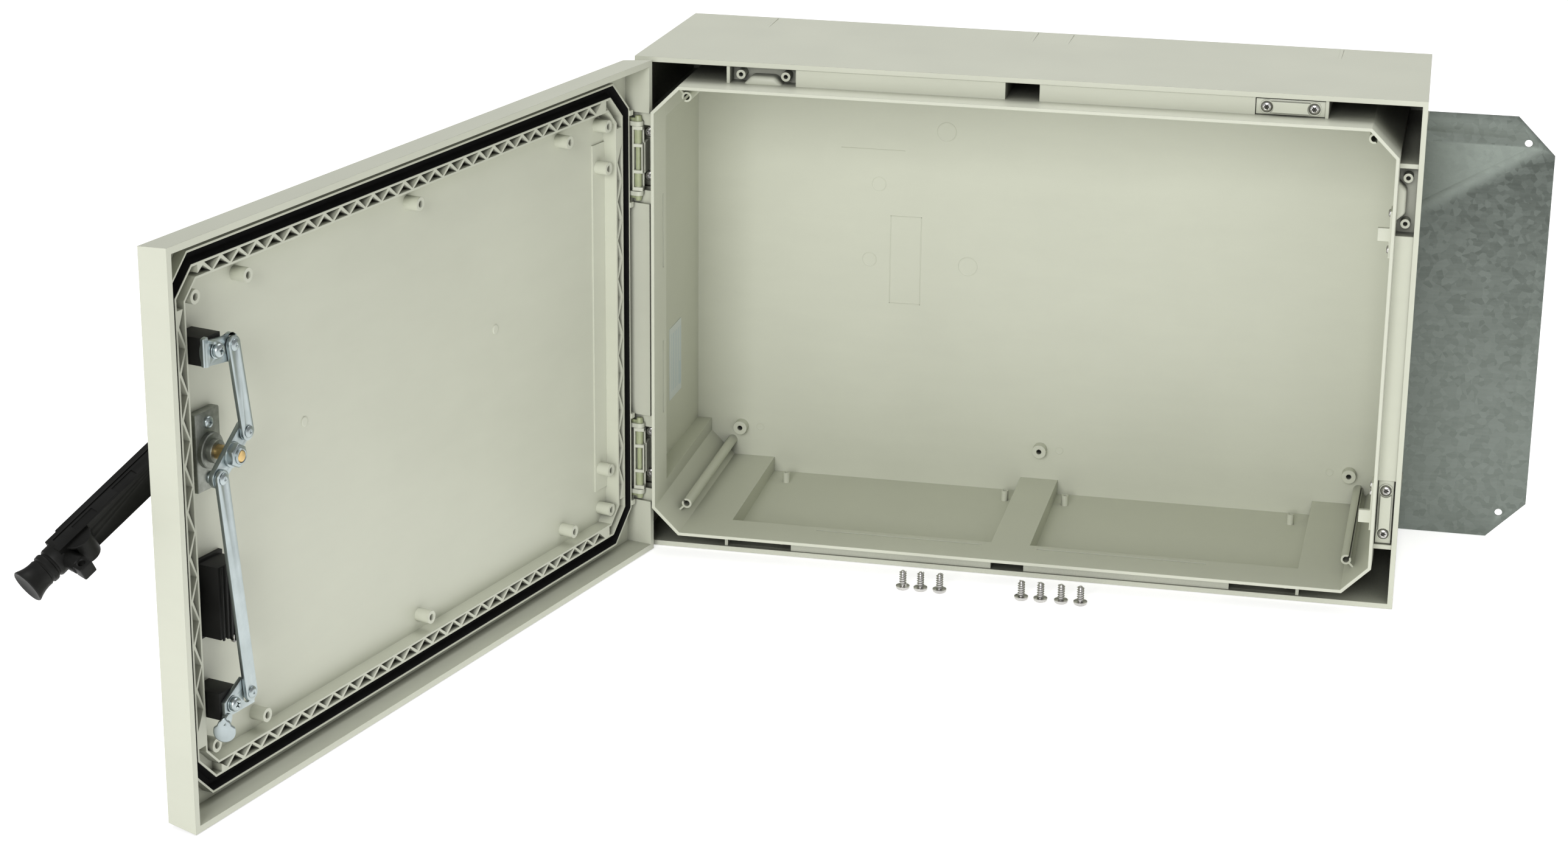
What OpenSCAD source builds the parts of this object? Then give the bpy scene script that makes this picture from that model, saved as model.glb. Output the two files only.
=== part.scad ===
// Moulded wall cabinet with a swing door, a two-point lock and a swing lever handle.
// X runs to the right, Y runs to the back, Z is up. The body's front plane is y = 0.
// Door parts are drawn closed, then swung about the hinge axis to their stored angle.

/* [Cabinet] */
// Width of the body and the door
cabinet_w = 600; // [600:10:760]
// Height of the body and the door
cabinet_h = 400; // [400:10:520]
// Depth of the body behind its front plane
body_d = 180; // [180:5:260]
// Thickness of the moulded outer wall
wall = 4; // [3:0.5:5]
// How far the sealing rim stands in front of the body
rim_reach = 20; // [14:1:20]

/* [Door] */
// Angle at which the door is stored, from closed
door_open = 105.5; // [0:0.5:120]
// Depth of the door at the middle of its crowned face
door_d = 30; // [30:1:36]
// Depth of the door at its edges
door_edge_d = 26; // [26:1:28]

/* [Lock] */
// Turn of the lever from its closed, hanging position
lever_turn = 58; // [0:1:58]
// Tilt of the lever out of its housing
lever_tilt = 16; // [0:1:16]
// Reach of the lever from the lock shaft
lever_len = 136; // [120:1:136]

/* [Hidden] */
$fn = 64;
EPS = 0.01;
GAP = 0.3;
RUN = 0.05;
BAR_WAIST = 0.98;

SHELL_GREY = [0.78, 0.79, 0.74];
RUBBER = [0.07, 0.07, 0.07];
BLACK = [0.1, 0.1, 0.1];
ZINC = [0.72, 0.78, 0.8];
DIE_CAST = [0.5, 0.5, 0.48];
BRASS = [0.8, 0.62, 0.3];
STEEL = [0.75, 0.75, 0.74];
NYLON = [0.8, 0.8, 0.62];
LABEL_BLUE = [0.35, 0.5, 0.75];

// Body
draft_side = 4;
back_wall = 6;
rim_inset = 17.5;
rim_t = 2.5;
rim_leg = 21;
LEG_STEP = 2 - sqrt(2);
gutter_d = 2;
web_t = 3;
corner_w = 74.5;
corner_h = 50.5;
partition_t = 2.5;
strip_half = 15.5;
mid_half = 13;
keeper_span = 52;
keeper_depth = 25;
keeper_pitch = 35;
keeper_boss_inset = 11;
keeper_xs = [100, cabinet_w - 100];
keeper_zs = [77.5, cabinet_h - 77.5];
recess_front = 18;
tube_inset = [38, 33];
boss_x = 46;
boss_z = 46;
boss_front = body_d - 14;
fixing_inset = 13.5;
fixing_r = 3.25;
striker_t = 1.6;

// Hinges
axis_x = 5.6;
axis_y = -11.5;
pin_r = 2;
leaf_half = 25.6;
leaf_screw_half = 17.5;
knuckle_gap = 0.3;
knuckle_t = 3.5;
knuckle_r = 4.2;
pin_head_r = 3.1;
hinge_pocket_half = 36;
hinge_pocket_u = 2.45;
notch_v = 18;

// Door, measured as depth v in front of the body's front plane
door_gap = 2;
door_inset = 0.5;
skirt_t = 2.4;
skirt_draft = 2.4;
lattice_v = 15;
panel_v = 26.5;
channel_v = 23;
lip_out = 13;
lip_in = 14.5;
truss_out = 23;
truss_in = 33.5;
truss_wall = 1.6;
crown_run = 60;
door_boss_xs = [44, 100, cabinet_w / 2, cabinet_w - 100, cabinet_w - 44];
door_boss_zs = [45, cabinet_h - 45];
side_boss_zs = [78, cabinet_h - 78];

// Lock, on the free side of the door
shaft_u = cabinet_w - 56;
shaft_z = 248;
shaft_r = 5;
crank_r = 18.6;
crank_up = [-14.4, 11.8];
latch_u = cabinet_w - 44;
link_w = 12;
link_front_v = -2.1;
link_back_v = 0.7;
plate_front_v = 1;
plate_back_v = 4;
rivet_r = 2.5;
rivet_head_r = 4.1;
stray_r = 4.6;
upper_stray = [-1, 2.8];
lower_stray = [0.8, -2.8];
spacer_half = 9.4;
spacer_front_v = 4.2;
upper_rivet = [latch_u - 16, cabinet_h - 78.5];
lower_rivet = [latch_u - 17.8, 80.1];
housing_half = 15;
housing_bottom = 118;
housing_top = shaft_z + 30;
housing_front_v = door_d + 4;
well_top = 176;
well_back_v = 8;
pivot_v = 45;
lever_w = 21;
lever_t = 15;

// Mounting plate and loose screws
plate_w = 550;
plate_h = 350;
plate_t = 2;
plate_x = 146;
plate_chamfer = 30;
plate_hole_r = 3;
plate_hole_pitch = [508, 308];
loose_xs = [226, 240, 255, 319, 334, 350, 365];
loose_y = -48;

// ---- shared shapes ----

// Block between two depths whose four sides lean inwards towards the back.
module drafted_block(inset, y_from, y_to) {
    lean = atan(draft_side / body_d);
    big = 2000;
    intersection() {
        translate([0, y_from, 0]) cube([cabinet_w, y_to - y_from, cabinet_h]);
        translate([inset, 0, -big / 2]) rotate([0, 0, -lean]) translate([0, -big / 2, 0]) cube(big);
        translate([cabinet_w - inset, 0, -big / 2]) rotate([0, 0, lean])
            translate([-big, -big / 2, 0]) cube(big);
        translate([-big / 2, 0, inset]) rotate([lean, 0, 0]) translate([0, -big / 2, 0]) cube(big);
        translate([-big / 2, 0, cabinet_h - inset]) rotate([-lean, 0, 0])
            translate([0, -big / 2, -big]) cube(big);
    }
}

// Front outline with four chamfered corners, at a distance inside the outer edge.
function corner_leg(inset) = rim_leg - LEG_STEP * (inset - 18);

module octagon(inset) {
    leg = corner_leg(inset);
    x1 = cabinet_w - inset;
    z1 = cabinet_h - inset;
    polygon([[inset + leg, inset], [x1 - leg, inset], [x1, inset + leg], [x1, z1 - leg],
        [x1 - leg, z1], [inset + leg, z1], [inset, z1 - leg], [inset, inset + leg]]);
}

// Stands a flat outline up in the front plane, between two Y depths.
module upright(y_from, y_to) {
    translate([0, y_to, 0]) rotate([90, 0, 0]) linear_extrude(y_to - y_from) children();
}

module octagon_ring(inset_out, inset_in, y_from, y_to) {
    upright(y_from, y_to) difference() {
        octagon(inset_out);
        octagon(inset_in);
    }
}

// Box given by its two opposite corners.
module span(a, b) {
    translate(a) cube(b - a);
}

module y_cylinder(r, y_from, y_to, x, z) {
    translate([x, y_to, z]) rotate([90, 0, 0]) cylinder(r = r, h = y_to - y_from);
}

// The same shapes for the door, by depth v in front of the body.
module slab(u_from, u_to, v_from, v_to, z_from, z_to) {
    translate([u_from, -v_to, z_from]) cube([u_to - u_from, v_to - v_from, z_to - z_from]);
}

module v_cylinder(r, v_from, v_to, u, z) {
    y_cylinder(r, -v_to, -v_from, u, z);
}

module v_extrude(v_from, v_to) {
    upright(-v_to, -v_from) children();
}

module mirror_x() {
    children();
    translate([cabinet_w, 0, 0]) mirror([1, 0, 0]) children();
}

module mirror_z() {
    children();
    translate([0, 0, cabinet_h]) mirror([0, 0, 1]) children();
}

// Swings closed door parts to the stored door angle.
module on_door() {
    translate([axis_x, axis_y, 0]) rotate([0, 0, -door_open]) translate([-axis_x, -axis_y, 0])
        children();
}

// Lever parts are drawn hanging down from the pivot, then tilted and turned.
module on_lever() {
    on_door() translate([shaft_u, -pivot_v, shaft_z]) rotate([-lever_tilt, -lever_turn, 0]) children();
}

// ---- body ----

// Front openings of the L-shaped corner pockets, as a flat outline.
module corner_pocket_outline() {
    difference() {
        square([corner_w - partition_t, corner_h - partition_t]);
        octagon(rim_inset);
    }
}

module keeper_bosses(y_from, y_to) {
    for (x = keeper_xs, side = [-1, 1])
        y_cylinder(3.6, y_from, y_to, x + side * keeper_pitch / 2, keeper_boss_inset);
}

// Ribs and boxes of one corner block: ring wall, partitions and the wall round the pocket.
module corner_block() {
    intersection() {
        octagon_ring(rim_inset, rim_inset + rim_t, gutter_d, body_d - back_wall);
        span([0, 0, 0], [corner_w, body_d, corner_h]);
    }
    span([corner_w - partition_t, gutter_d, wall - 1], [corner_w, body_d - back_wall, rim_inset + 1]);
    span([wall - 1, gutter_d, corner_h - partition_t], [rim_inset + 1, body_d - back_wall, corner_h]);
}

// Raised floor of the strips and the walls down to the recessed floor panels.
module floor_block() {
    y_end = body_d - back_wall;
    floor_z = rim_inset + rim_t;
    span([cabinet_w / 2 - strip_half, gutter_d, rim_inset], [cabinet_w / 2, y_end, floor_z]);
    span([cabinet_w / 2 - strip_half, gutter_d, wall - 1],
        [cabinet_w / 2 - strip_half + partition_t, y_end, rim_inset + 1]);
    span([corner_w - 1, gutter_d, rim_inset], [cabinet_w / 2, recess_front, floor_z]);
    span([corner_w - 1, recess_front - partition_t, wall - 1],
        [cabinet_w / 2 - strip_half + 1, recess_front, rim_inset + 1]);
}

// Side wall behind the rim: the band that ends in front of the recessed side panel.
module side_block() {
    span([rim_inset, gutter_d, corner_h - 1], [rim_inset + rim_t, recess_front, cabinet_h / 2]);
    span([wall - 1, recess_front - partition_t, corner_h - 1],
        [rim_inset + 1, recess_front, cabinet_h / 2]);
}

// Slotted screw tube on the corner chamfer, with the fin that carries it.
module screw_tube() {
    y_end = body_d - back_wall;
    difference() {
        union() {
            y_cylinder(4, 12, y_end, tube_inset[0], tube_inset[1]);
            translate([tube_inset[0], 12, tube_inset[1]]) rotate([0, 45, 0]) translate([-0.8, 0, -14])
                cube([1.6, y_end - 12, 11]);
        }
        y_cylinder(2.4, 11, y_end + 1, tube_inset[0], tube_inset[1]);
        translate([tube_inset[0], 11, tube_inset[1]]) rotate([0, -45, 0]) translate([-0.9, 0, 0])
            cube([1.8, y_end, 6]);
    }
}

module body_shell() color(SHELL_GREY) {
    y_end = body_d - back_wall;
    difference() {
        union() {
            difference() {
                drafted_block(0, 0, body_d);
                drafted_block(wall, -1, y_end);
            }
            difference() {
                drafted_block(wall - 1, gutter_d, gutter_d + web_t);
                upright(0, body_d) octagon(rim_inset + rim_t - EPS);
            }
            octagon_ring(rim_inset, rim_inset + rim_t, -rim_reach, gutter_d + web_t);
            mirror_x() mirror_z() {
                corner_block();
                floor_block();
                side_block();
                screw_tube();
                fixed_posts();
                keeper_box();
                side_keeper_box();
            }
            for (x = [boss_x, cabinet_w / 2, cabinet_w - boss_x], z = [boss_z, cabinet_h - boss_z])
                y_cylinder(5.75, boss_front, y_end + 1, x, z);
        }
        mirror_x() mirror_z() {
            upright(-1, y_end) intersection() {
                corner_pocket_outline();
                translate([wall, wall]) square([corner_w, corner_h]);
            }
            keeper_cavity();
            y_cylinder(fixing_r, y_end - 1, body_d + 1, fixing_inset, fixing_inset);
        }
        mirror_z() span([cabinet_w / 2 - mid_half, -1, wall], [cabinet_w / 2 + mid_half, y_end, rim_inset]);
        for (x = [boss_x, cabinet_w / 2, cabinet_w - boss_x], z = [boss_z, cabinet_h - boss_z])
            y_cylinder(2.15, boss_front - 1, body_d - 2, x, z);
        for (z = concat(upper_striker_zs, lower_striker_zs))
            translate([cabinet_w - rim_inset - rim_t - 1, -2, z]) rotate([0, 90, 0]) cylinder(r = 1.6, h = rim_t + 2);
        upright(body_d - 0.8, body_d + 1) translate([cabinet_w / 2 - 60, cabinet_h / 2 - 25]) square([120, 50]);
        mirror_x() span([rim_inset + 0.4, 7, 110], [rim_inset + rim_t + 1, 9.5, 170]);
        mirror_x() span([rim_inset + 0.4, 7, 230], [rim_inset + rim_t + 1, 9.5, 290]);
        mirror_x() span([145, 10, rim_inset + 1], [cabinet_w / 2 - 22, 12, rim_inset + rim_t + 1]);
    }
}

// Hollow posts that stand on the recessed floor near the back.
module fixed_posts() {
    for (x = [90, 275])
        difference() {
            translate([x, 150, wall + 1]) cylinder(r = 3, h = 11);
            translate([x, 150, wall + 5]) cylinder(r = 1.4, h = 12);
        }
}

// Box round a keeper pocket in the top or bottom band.
module keeper_box() {
    x0 = keeper_xs[0] - keeper_span / 2;
    x1 = keeper_xs[0] + keeper_span / 2;
    span([x1, gutter_d, wall - 1], [x1 + partition_t, recess_front, rim_inset + 1]);
    for (side = [-1, 1])
        difference() {
            y_cylinder(3.6, 5, recess_front, keeper_xs[0] + side * keeper_pitch / 2, keeper_boss_inset);
            y_cylinder(1.7, 4, recess_front - partition_t, keeper_xs[0] + side * keeper_pitch / 2,
                keeper_boss_inset);
        }
    span([x0 - 1, recess_front - partition_t, wall - 1], [x1 + 1, recess_front, rim_inset + 1]);
}

module side_keeper_box() {
    z0 = keeper_zs[0] - keeper_span / 2;
    z1 = keeper_zs[0] + keeper_span / 2;
    span([wall - 1, gutter_d, z1], [rim_inset + 1, recess_front, z1 + partition_t]);
    for (side = [-1, 1])
        difference() {
            y_cylinder(3.6, 6.5, recess_front, keeper_boss_inset, keeper_zs[0] + side * keeper_pitch / 2);
            y_cylinder(1.7, 5, recess_front - partition_t, keeper_boss_inset,
                keeper_zs[0] + side * keeper_pitch / 2);
        }
    span([wall - 1, recess_front - partition_t, z0 - 1], [rim_inset + 1, recess_front, z1 + 1]);
}

// The pockets' openings through the front web.
module keeper_cavity() {
    x0 = keeper_xs[0] - keeper_span / 2;
    z0 = keeper_zs[0] - keeper_span / 2;
    span([x0 + 0.5, -1, wall], [x0 + keeper_span, gutter_d + web_t, rim_inset]);
    span([wall, -1, z0], [rim_inset, gutter_d + web_t, z0 + keeper_span]);
}

// ---- hinges ----

// Body half of a hinge: windowed barrel frame, arm and screwed foot in its pocket.
module hinge_leaf(z) {
    front = axis_y - 3.1;
    difference() {
        union() {
            span([axis_x - 4.1, front, z - leaf_half], [axis_x + 4.1, axis_y + 3.1, z + leaf_half]);
            span([axis_x + 2.6, axis_y + 2, z - 12], [axis_x + 5, 6.4, z + 12]);
            span([wall + 0.6, 4, z - leaf_half + 0.3], [rim_inset - 0.3, 6.4, z + leaf_half - 0.3]);
        }
        for (half = [-1, 1])
            span([axis_x - 3, front - 1, z + half * 17.2 - 5.6], [axis_x + 4.2, axis_y + 2.1, z + half * 17.2 + 5.6]);
        span([axis_x - 3, front - 1, z - 9.2], [axis_x + 3.1, axis_y + 2.1, z + 9.2]);
        translate([axis_x, axis_y, z - 30]) cylinder(r = pin_r + RUN, h = 60);
        for (half = [-1, 1])
            y_cylinder(1.8, 3, 7, keeper_boss_inset, z + half * leaf_screw_half);
    }
    for (half = [-1, 1])
        difference() {
            translate([axis_x, axis_y, z + half * 17.2 - 5.8]) cylinder(r = 2.75, h = 11.6);
            translate([axis_x, axis_y, z + half * 17.2 - 7]) cylinder(r = pin_r + RUN, h = 14);
        }
}

module hinge_pin(z) {
    reach = leaf_half + knuckle_gap + knuckle_t;
    translate([axis_x, axis_y, z - reach]) cylinder(r = pin_r, h = 2 * reach);
    for (end = [0, 1])
        translate([0, 0, z]) mirror([0, 0, end]) {
            translate([axis_x, axis_y, reach]) cylinder(r1 = pin_head_r, r2 = 2.2, h = 4.2);
            translate([axis_x, axis_y - 8.5, reach]) cube([2.2, 8.5, 2.4]);
        }
}

module upper_hinge_leaf() color(SHELL_GREY) hinge_leaf(keeper_zs[1]);
module lower_hinge_leaf() color(SHELL_GREY) hinge_leaf(keeper_zs[0]);
module upper_hinge_pin() color(NYLON) on_door() hinge_pin(keeper_zs[1]);
module lower_hinge_pin() color(NYLON) on_door() hinge_pin(keeper_zs[0]);

// Screw along Y with its head at the front.
module front_screw(x, y, z, head_r, head_h, shank_r, length) {
    y_cylinder(head_r, y - head_h, y, x, z);
    y_cylinder(shank_r, y - EPS, y + length, x, z);
}

module hinge_screws() color(STEEL)
    for (z = keeper_zs, half = [-1, 1])
        front_screw(keeper_boss_inset, 4, z + half * leaf_screw_half, 4.1, 2.4, 1.6, 10);

// Fitted latch keeper: a screwed plate with a raised bar along its middle.
module keeper_plate(length) {
    difference() {
        union() {
            translate([-length / 2, 2.6, -5.8]) cube([length, 2.3, 11.6]);
            translate([-11, 0.8, -1.2]) cube([22, 3, 2.4]);
        }
        for (side = [-1, 1])
            y_cylinder(1.8, 0, 7, side * keeper_pitch / 2, 0);
    }
}

module top_keeper() color(SHELL_GREY)
    translate([keeper_xs[1], 0, cabinet_h - keeper_boss_inset]) keeper_plate(keeper_span - 1.2);

module side_keeper() color(SHELL_GREY)
    translate([cabinet_w - keeper_boss_inset, 1.5, keeper_zs[0]]) rotate([0, 90, 0])
        keeper_plate(keeper_span - 1.2);

module keeper_screws() color(STEEL)
    for (side = [-1, 1]) {
        front_screw(keeper_xs[1] + side * keeper_pitch / 2, 2.6, cabinet_h - keeper_boss_inset, 4, 2.2, 1.6, 10);
        front_screw(cabinet_w - keeper_boss_inset, 4.1, keeper_zs[0] + side * keeper_pitch / 2, 4, 2.2, 1.6, 10);
    }

// Latch strikers on the inside of the sealing rim, on the free side.
module striker(z_from, z_to, lip_from, lip_to, lip_x, screw_zs) {
    inner = cabinet_w - rim_inset - rim_t;
    difference() {
        union() {
            span([inner - striker_t, -13, z_from], [inner, 4, z_to]);
            span([lip_x, -13, lip_from], [inner - striker_t + 0.1, -9.8, lip_to]);
        }
        for (z = screw_zs)
            translate([inner - 4, -2, z]) rotate([0, 90, 0]) cylinder(r = 1.8, h = 6);
    }
}

upper_striker_zs = [cabinet_h - 113, cabinet_h - 85];
lower_striker_zs = [95, 101.5];
module upper_striker() color(SHELL_GREY) striker(283, 319, 296, 306, cabinet_w - 30, upper_striker_zs);
module lower_striker() color(SHELL_GREY) striker(68, 106, 74, 84, cabinet_w - 30, lower_striker_zs);

module striker_screws() color(STEEL)
    for (z = concat(upper_striker_zs, lower_striker_zs))
        translate([cabinet_w - rim_inset - rim_t - striker_t, -2, z]) rotate([0, 90, 0]) {
            translate([0, 0, -1.8]) cylinder(r = 3, h = 1.8);
            cylinder(r = 1.6, h = striker_t + rim_t);
        }

// ---- door ----

// Outer form of the door: drafted skirt and a crowned outer face.
module door_blank() {
    lean = atan(skirt_draft / (door_edge_d - door_gap));
    crown = atan((door_d - door_edge_d) / crown_run);
    big = 2000;
    x1 = cabinet_w - door_inset;
    z1 = cabinet_h - door_inset;
    intersection() {
        slab(door_inset, x1, door_gap, door_d, door_inset, z1);
        translate([door_inset, -door_gap, -big / 2]) rotate([0, 0, lean]) translate([0, -big / 2, 0]) cube(big);
        translate([x1, -door_gap, -big / 2]) rotate([0, 0, -lean]) translate([-big, -big / 2, 0]) cube(big);
        translate([-big / 2, -door_gap, door_inset]) rotate([-lean, 0, 0]) translate([0, -big / 2, 0]) cube(big);
        translate([-big / 2, -door_gap, z1]) rotate([lean, 0, 0]) translate([0, -big / 2, -big]) cube(big);
        translate([door_inset, -door_edge_d, -big / 2]) rotate([0, 0, -crown]) translate([-big / 2, 0, 0]) cube(big);
        translate([x1, -door_edge_d, -big / 2]) rotate([0, 0, crown]) translate([-big / 2, 0, 0]) cube(big);
        translate([-big / 2, -door_edge_d, door_inset]) rotate([crown, 0, 0]) translate([0, 0, -big / 2]) cube(big);
        translate([-big / 2, -door_edge_d, z1]) rotate([-crown, 0, 0]) translate([0, 0, -big / 2]) cube(big);
    }
}

// Rectangle at an inset from the door's nominal edge.
module door_rect(inset) {
    translate([inset, inset]) square([cabinet_w - 2 * inset, cabinet_h - 2 * inset]);
}

// One straight run of triangular cells, along X from its middle.
module truss_run(length, pitch) {
    count = floor(length / pitch);
    inner = truss_out + truss_wall;
    outer = truss_in - truss_wall;
    slope = truss_wall;
    for (i = [0 : count - 1]) {
        x = -count * pitch / 2 + i * pitch;
        polygon([[x + slope, inner], [x + pitch - slope, inner], [x + pitch / 2, outer - slope / 2]]);
        polygon([[x + pitch / 2 + slope, outer], [x + pitch, inner + slope], [x + 1.5 * pitch - slope, outer]]);
    }
}

// Open corner cell between the two lattice walls.
module corner_cell() {
    intersection() {
        difference() {
            octagon(truss_out + truss_wall);
            octagon(truss_in - truss_wall);
        }
        square([truss_in + 14, truss_in + 16]);
    }
}

module lattice_cells() {
    run_x = cabinet_w - 2 * (truss_in + 18);
    run_z = cabinet_h - 2 * (truss_in + 22);
    translate([cabinet_w / 2, 0]) truss_run(run_x, 19);
    translate([cabinet_w / 2, cabinet_h]) mirror([0, 1]) truss_run(run_x, 19);
    translate([0, cabinet_h / 2]) rotate(-90) truss_run(run_z, 31);
    translate([cabinet_w, cabinet_h / 2]) rotate(90) truss_run(run_z, 31);
    for (fx = [0, 1], fz = [0, 1])
        translate([fx * cabinet_w, fz * cabinet_h]) mirror([fx, 0]) mirror([0, fz]) corner_cell();
}

// Knuckle plates, pin lugs and the notch for one hinge on the door.
module knuckle_plates(z) {
    near = leaf_half + knuckle_gap;
    for (end = [0, 1])
        translate([0, 0, z]) mirror([0, 0, end]) {
            slab(1.2, axis_x + knuckle_r, -axis_y, channel_v + 1, near, near + knuckle_t);
            v_cylinder_z(knuckle_r, near, near + knuckle_t);
            slab(lip_out - 4, lip_out + 0.5, 14, 18, near + knuckle_t + 5, near + knuckle_t + 9);
        }
}

module v_cylinder_z(r, z_from, z_to) {
    translate([axis_x, axis_y, z_from]) cylinder(r = r, h = z_to - z_from);
}

module door_bosses() {
    for (u = door_boss_xs, z = door_boss_zs)
        v_cylinder(5, lattice_v, panel_v + 1, u, z);
    for (u = [door_boss_xs[0], latch_u], z = side_boss_zs)
        v_cylinder(5, lattice_v, panel_v + 1, u, z);
}

module boss_holes() {
    for (u = door_boss_xs, z = door_boss_zs)
        v_cylinder(2.5, lattice_v - 1, panel_v - 0.5, u, z);
    for (u = [door_boss_xs[0], latch_u], z = side_boss_zs)
        v_cylinder(2.5, lattice_v - 1, panel_v - 0.5, u, z);
}

module door_shell() color(SHELL_GREY) on_door() {
    difference() {
        union() {
            difference() {
                door_blank();
                v_extrude(-1, lattice_v) door_rect(door_inset + skirt_draft + skirt_t);
                v_extrude(lattice_v - 1, channel_v) difference() {
                    door_rect(door_inset + skirt_draft + skirt_t);
                    octagon(lip_out);
                }
                v_extrude(lattice_v - 1, channel_v) difference() {
                    octagon(lip_in);
                    octagon(truss_out);
                }
                v_extrude(lattice_v - 1, channel_v) lattice_cells();
                v_extrude(lattice_v - 1, panel_v) octagon(truss_in);
                for (z = keeper_zs) {
                    slab(0, lip_out - 2, -1, notch_v, z - leaf_half - knuckle_gap, z + leaf_half + knuckle_gap);
                    slab(hinge_pocket_u, 6, -1, notch_v, z - hinge_pocket_half, z + hinge_pocket_half);
                }
            }
            slab(truss_in - 0.5, 51, panel_v - 1.2, panel_v + 1, 60, cabinet_h - 60);
            door_bosses();
            for (z = keeper_zs)
                knuckle_plates(z);
        }
        boss_holes();
        for (z = keeper_zs)
            translate([axis_x, axis_y, z - 32]) cylinder(r = pin_r + RUN, h = 64);
        slab(shaft_u - 12, shaft_u + 12, 20, door_d + 1, 121, 172);
        v_cylinder(6, 20, door_d + 1, shaft_u, shaft_z);
        for (half = [-1, 1])
            v_cylinder(2.1, 20, door_d + 1, shaft_u, shaft_z + half * 19);
    }
}

module door_gasket() color(RUBBER) on_door()
    octagon_ring(lip_in + 0.3, truss_out - 0.5, -channel_v, -rim_reach - GAP);

// ---- lock ----

module lock_base_plate() color(DIE_CAST) on_door()
    difference() {
        union() {
            slab(shaft_u - 13, shaft_u + 13, 19.5, panel_v, shaft_z - 27, shaft_z + 27);
            v_cylinder(12, 16, 20, shaft_u, shaft_z);
            v_cylinder(8, 12, 17, shaft_u, shaft_z);
        }
        v_cylinder(shaft_r + RUN, 11, panel_v + 1, shaft_u, shaft_z);
        for (half = [-1, 1])
            v_cylinder(2, 18, panel_v + 1, shaft_u, shaft_z + half * 19);
    }

module lock_base_screws() color(STEEL) on_door()
    for (half = [-1, 1]) {
        v_cylinder(4.2, 17, 19.5, shaft_u, shaft_z + half * 19);
        v_cylinder(2, 19.4, housing_front_v - 0.5, shaft_u, shaft_z + half * 19);
    }

module lock_shaft() color(BRASS) on_door() {
    v_cylinder(shaft_r, plate_back_v + 0.5, housing_front_v + 0.5, shaft_u, shaft_z);
    v_cylinder(4, -7, plate_back_v + 0.6, shaft_u, shaft_z);
}

// Flat bar with two round ends, as an outline.
module bar_outline(a, b, r) {
    along = b - a;
    length = norm(along);
    side_r = r * BAR_WAIST;
    translate(a) circle(r);
    translate(b) circle(r);
    translate(a) rotate(atan2(along[1], along[0])) translate([0, -side_r]) square([length, 2 * side_r]);
}

shaft_at = [shaft_u, shaft_z];
crank_top = shaft_at + crank_up;
crank_low = shaft_at - crank_up;

module crank_plate() color(ZINC) on_door()
    v_extrude(plate_front_v, plate_back_v + 0.5) difference() {
        bar_outline(crank_top, crank_low, 7);
        translate(shaft_at) circle(4);
        for (at = [crank_top, crank_low])
            translate(at) circle(rivet_r);
    }

module lock_nut() color(ZINC) on_door()
    difference() {
        union() {
            v_cylinder(8.6, -0.2, plate_front_v, shaft_u, shaft_z);
            v_extrude(-5.4, -0.2) translate(shaft_at) circle(r = 8.6, $fn = 6);
        }
        v_cylinder(4, -8, 2, shaft_u, shaft_z);
    }

module rivet(at, tail_v) {
    v_cylinder(rivet_head_r, link_front_v - 1.7, link_front_v - 0.2, at[0], at[1]);
    v_cylinder(rivet_r, link_front_v - 0.3, tail_v, at[0], at[1]);
}

module crank_rivets() color(ZINC) on_door()
    for (at = [crank_top, crank_low]) {
        rivet(at, plate_back_v + 0.5);
        v_cylinder(4, plate_back_v + 0.5, plate_back_v + 1.6, at[0], at[1]);
    }

// Push link; it turns on the crank rivet and holds the latch rivet.
module link_bar(on_crank, on_latch) {
    v_extrude(link_front_v, link_back_v) difference() {
        bar_outline(on_crank, on_latch, link_w / 2);
        translate(on_crank) circle(rivet_r + RUN);
        translate(on_latch) circle(rivet_r);
    }
}

module upper_link() color(ZINC) on_door() link_bar(crank_top, upper_rivet);
module lower_link() color(ZINC) on_door() link_bar(crank_low, lower_rivet);

// Latch rivet: its shank passes a wide hole in the latch plate to a flat tail behind it.
module latch_rivet(at) {
    v_cylinder(rivet_head_r, link_front_v - 1.5, link_front_v, at[0], at[1]);
    v_cylinder(rivet_r, link_front_v - EPS, plate_back_v + 0.3, at[0], at[1]);
    v_cylinder(4.9, plate_back_v + 0.3, plate_back_v + 1.2, at[0], at[1]);
}

module upper_link_rivet() color(ZINC) on_door() latch_rivet(upper_rivet);
module lower_link_rivet() color(ZINC) on_door() latch_rivet(lower_rivet);

latch_hole_r = 3;
upper_pivot = [latch_u, cabinet_h - 78];
lower_pivot = [latch_u, 78];

module upper_latch_plate() color(ZINC) on_door() {
    v_extrude(plate_front_v, plate_back_v) difference() {
        union() {
            translate(upper_pivot + [-22.5, -9]) square([30.5, 17]);
            translate(upper_pivot + [8, -0.5]) intersection() {
                circle(r = 9);
                translate([-1, -9]) square([12, 18]);
            }
        }
        translate(upper_pivot) circle(latch_hole_r);
        bar_outline(upper_rivet, upper_rivet + upper_stray, stray_r);
    }
    slab(upper_pivot[0] + 4, upper_pivot[0] + 7, -3.4, plate_front_v, upper_pivot[1] + 6, upper_pivot[1] + 8);
}

// Teardrop tongue on a neck that is jogged forwards from the plate.
module lower_latch_plate() color(ZINC) on_door() {
    v_extrude(plate_front_v, plate_back_v) difference() {
        polygon([lower_pivot + [-24, -8], lower_pivot + [-24, 9], lower_pivot + [-12, 14],
            lower_pivot + [8, 3], lower_pivot + [8, -8]]);
        translate(lower_pivot) circle(latch_hole_r);
        bar_outline(lower_rivet, lower_rivet + lower_stray, stray_r);
    }
    v_extrude(plate_front_v - 2.2, plate_front_v + 1.8) bar_outline(lower_pivot + [6.5, -7.5], lower_pivot + [10, -16], 3);
    v_extrude(plate_front_v - 2.2, plate_front_v + 0.6) translate(lower_pivot + [10, -16.5]) circle(5.2);
}

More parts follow.
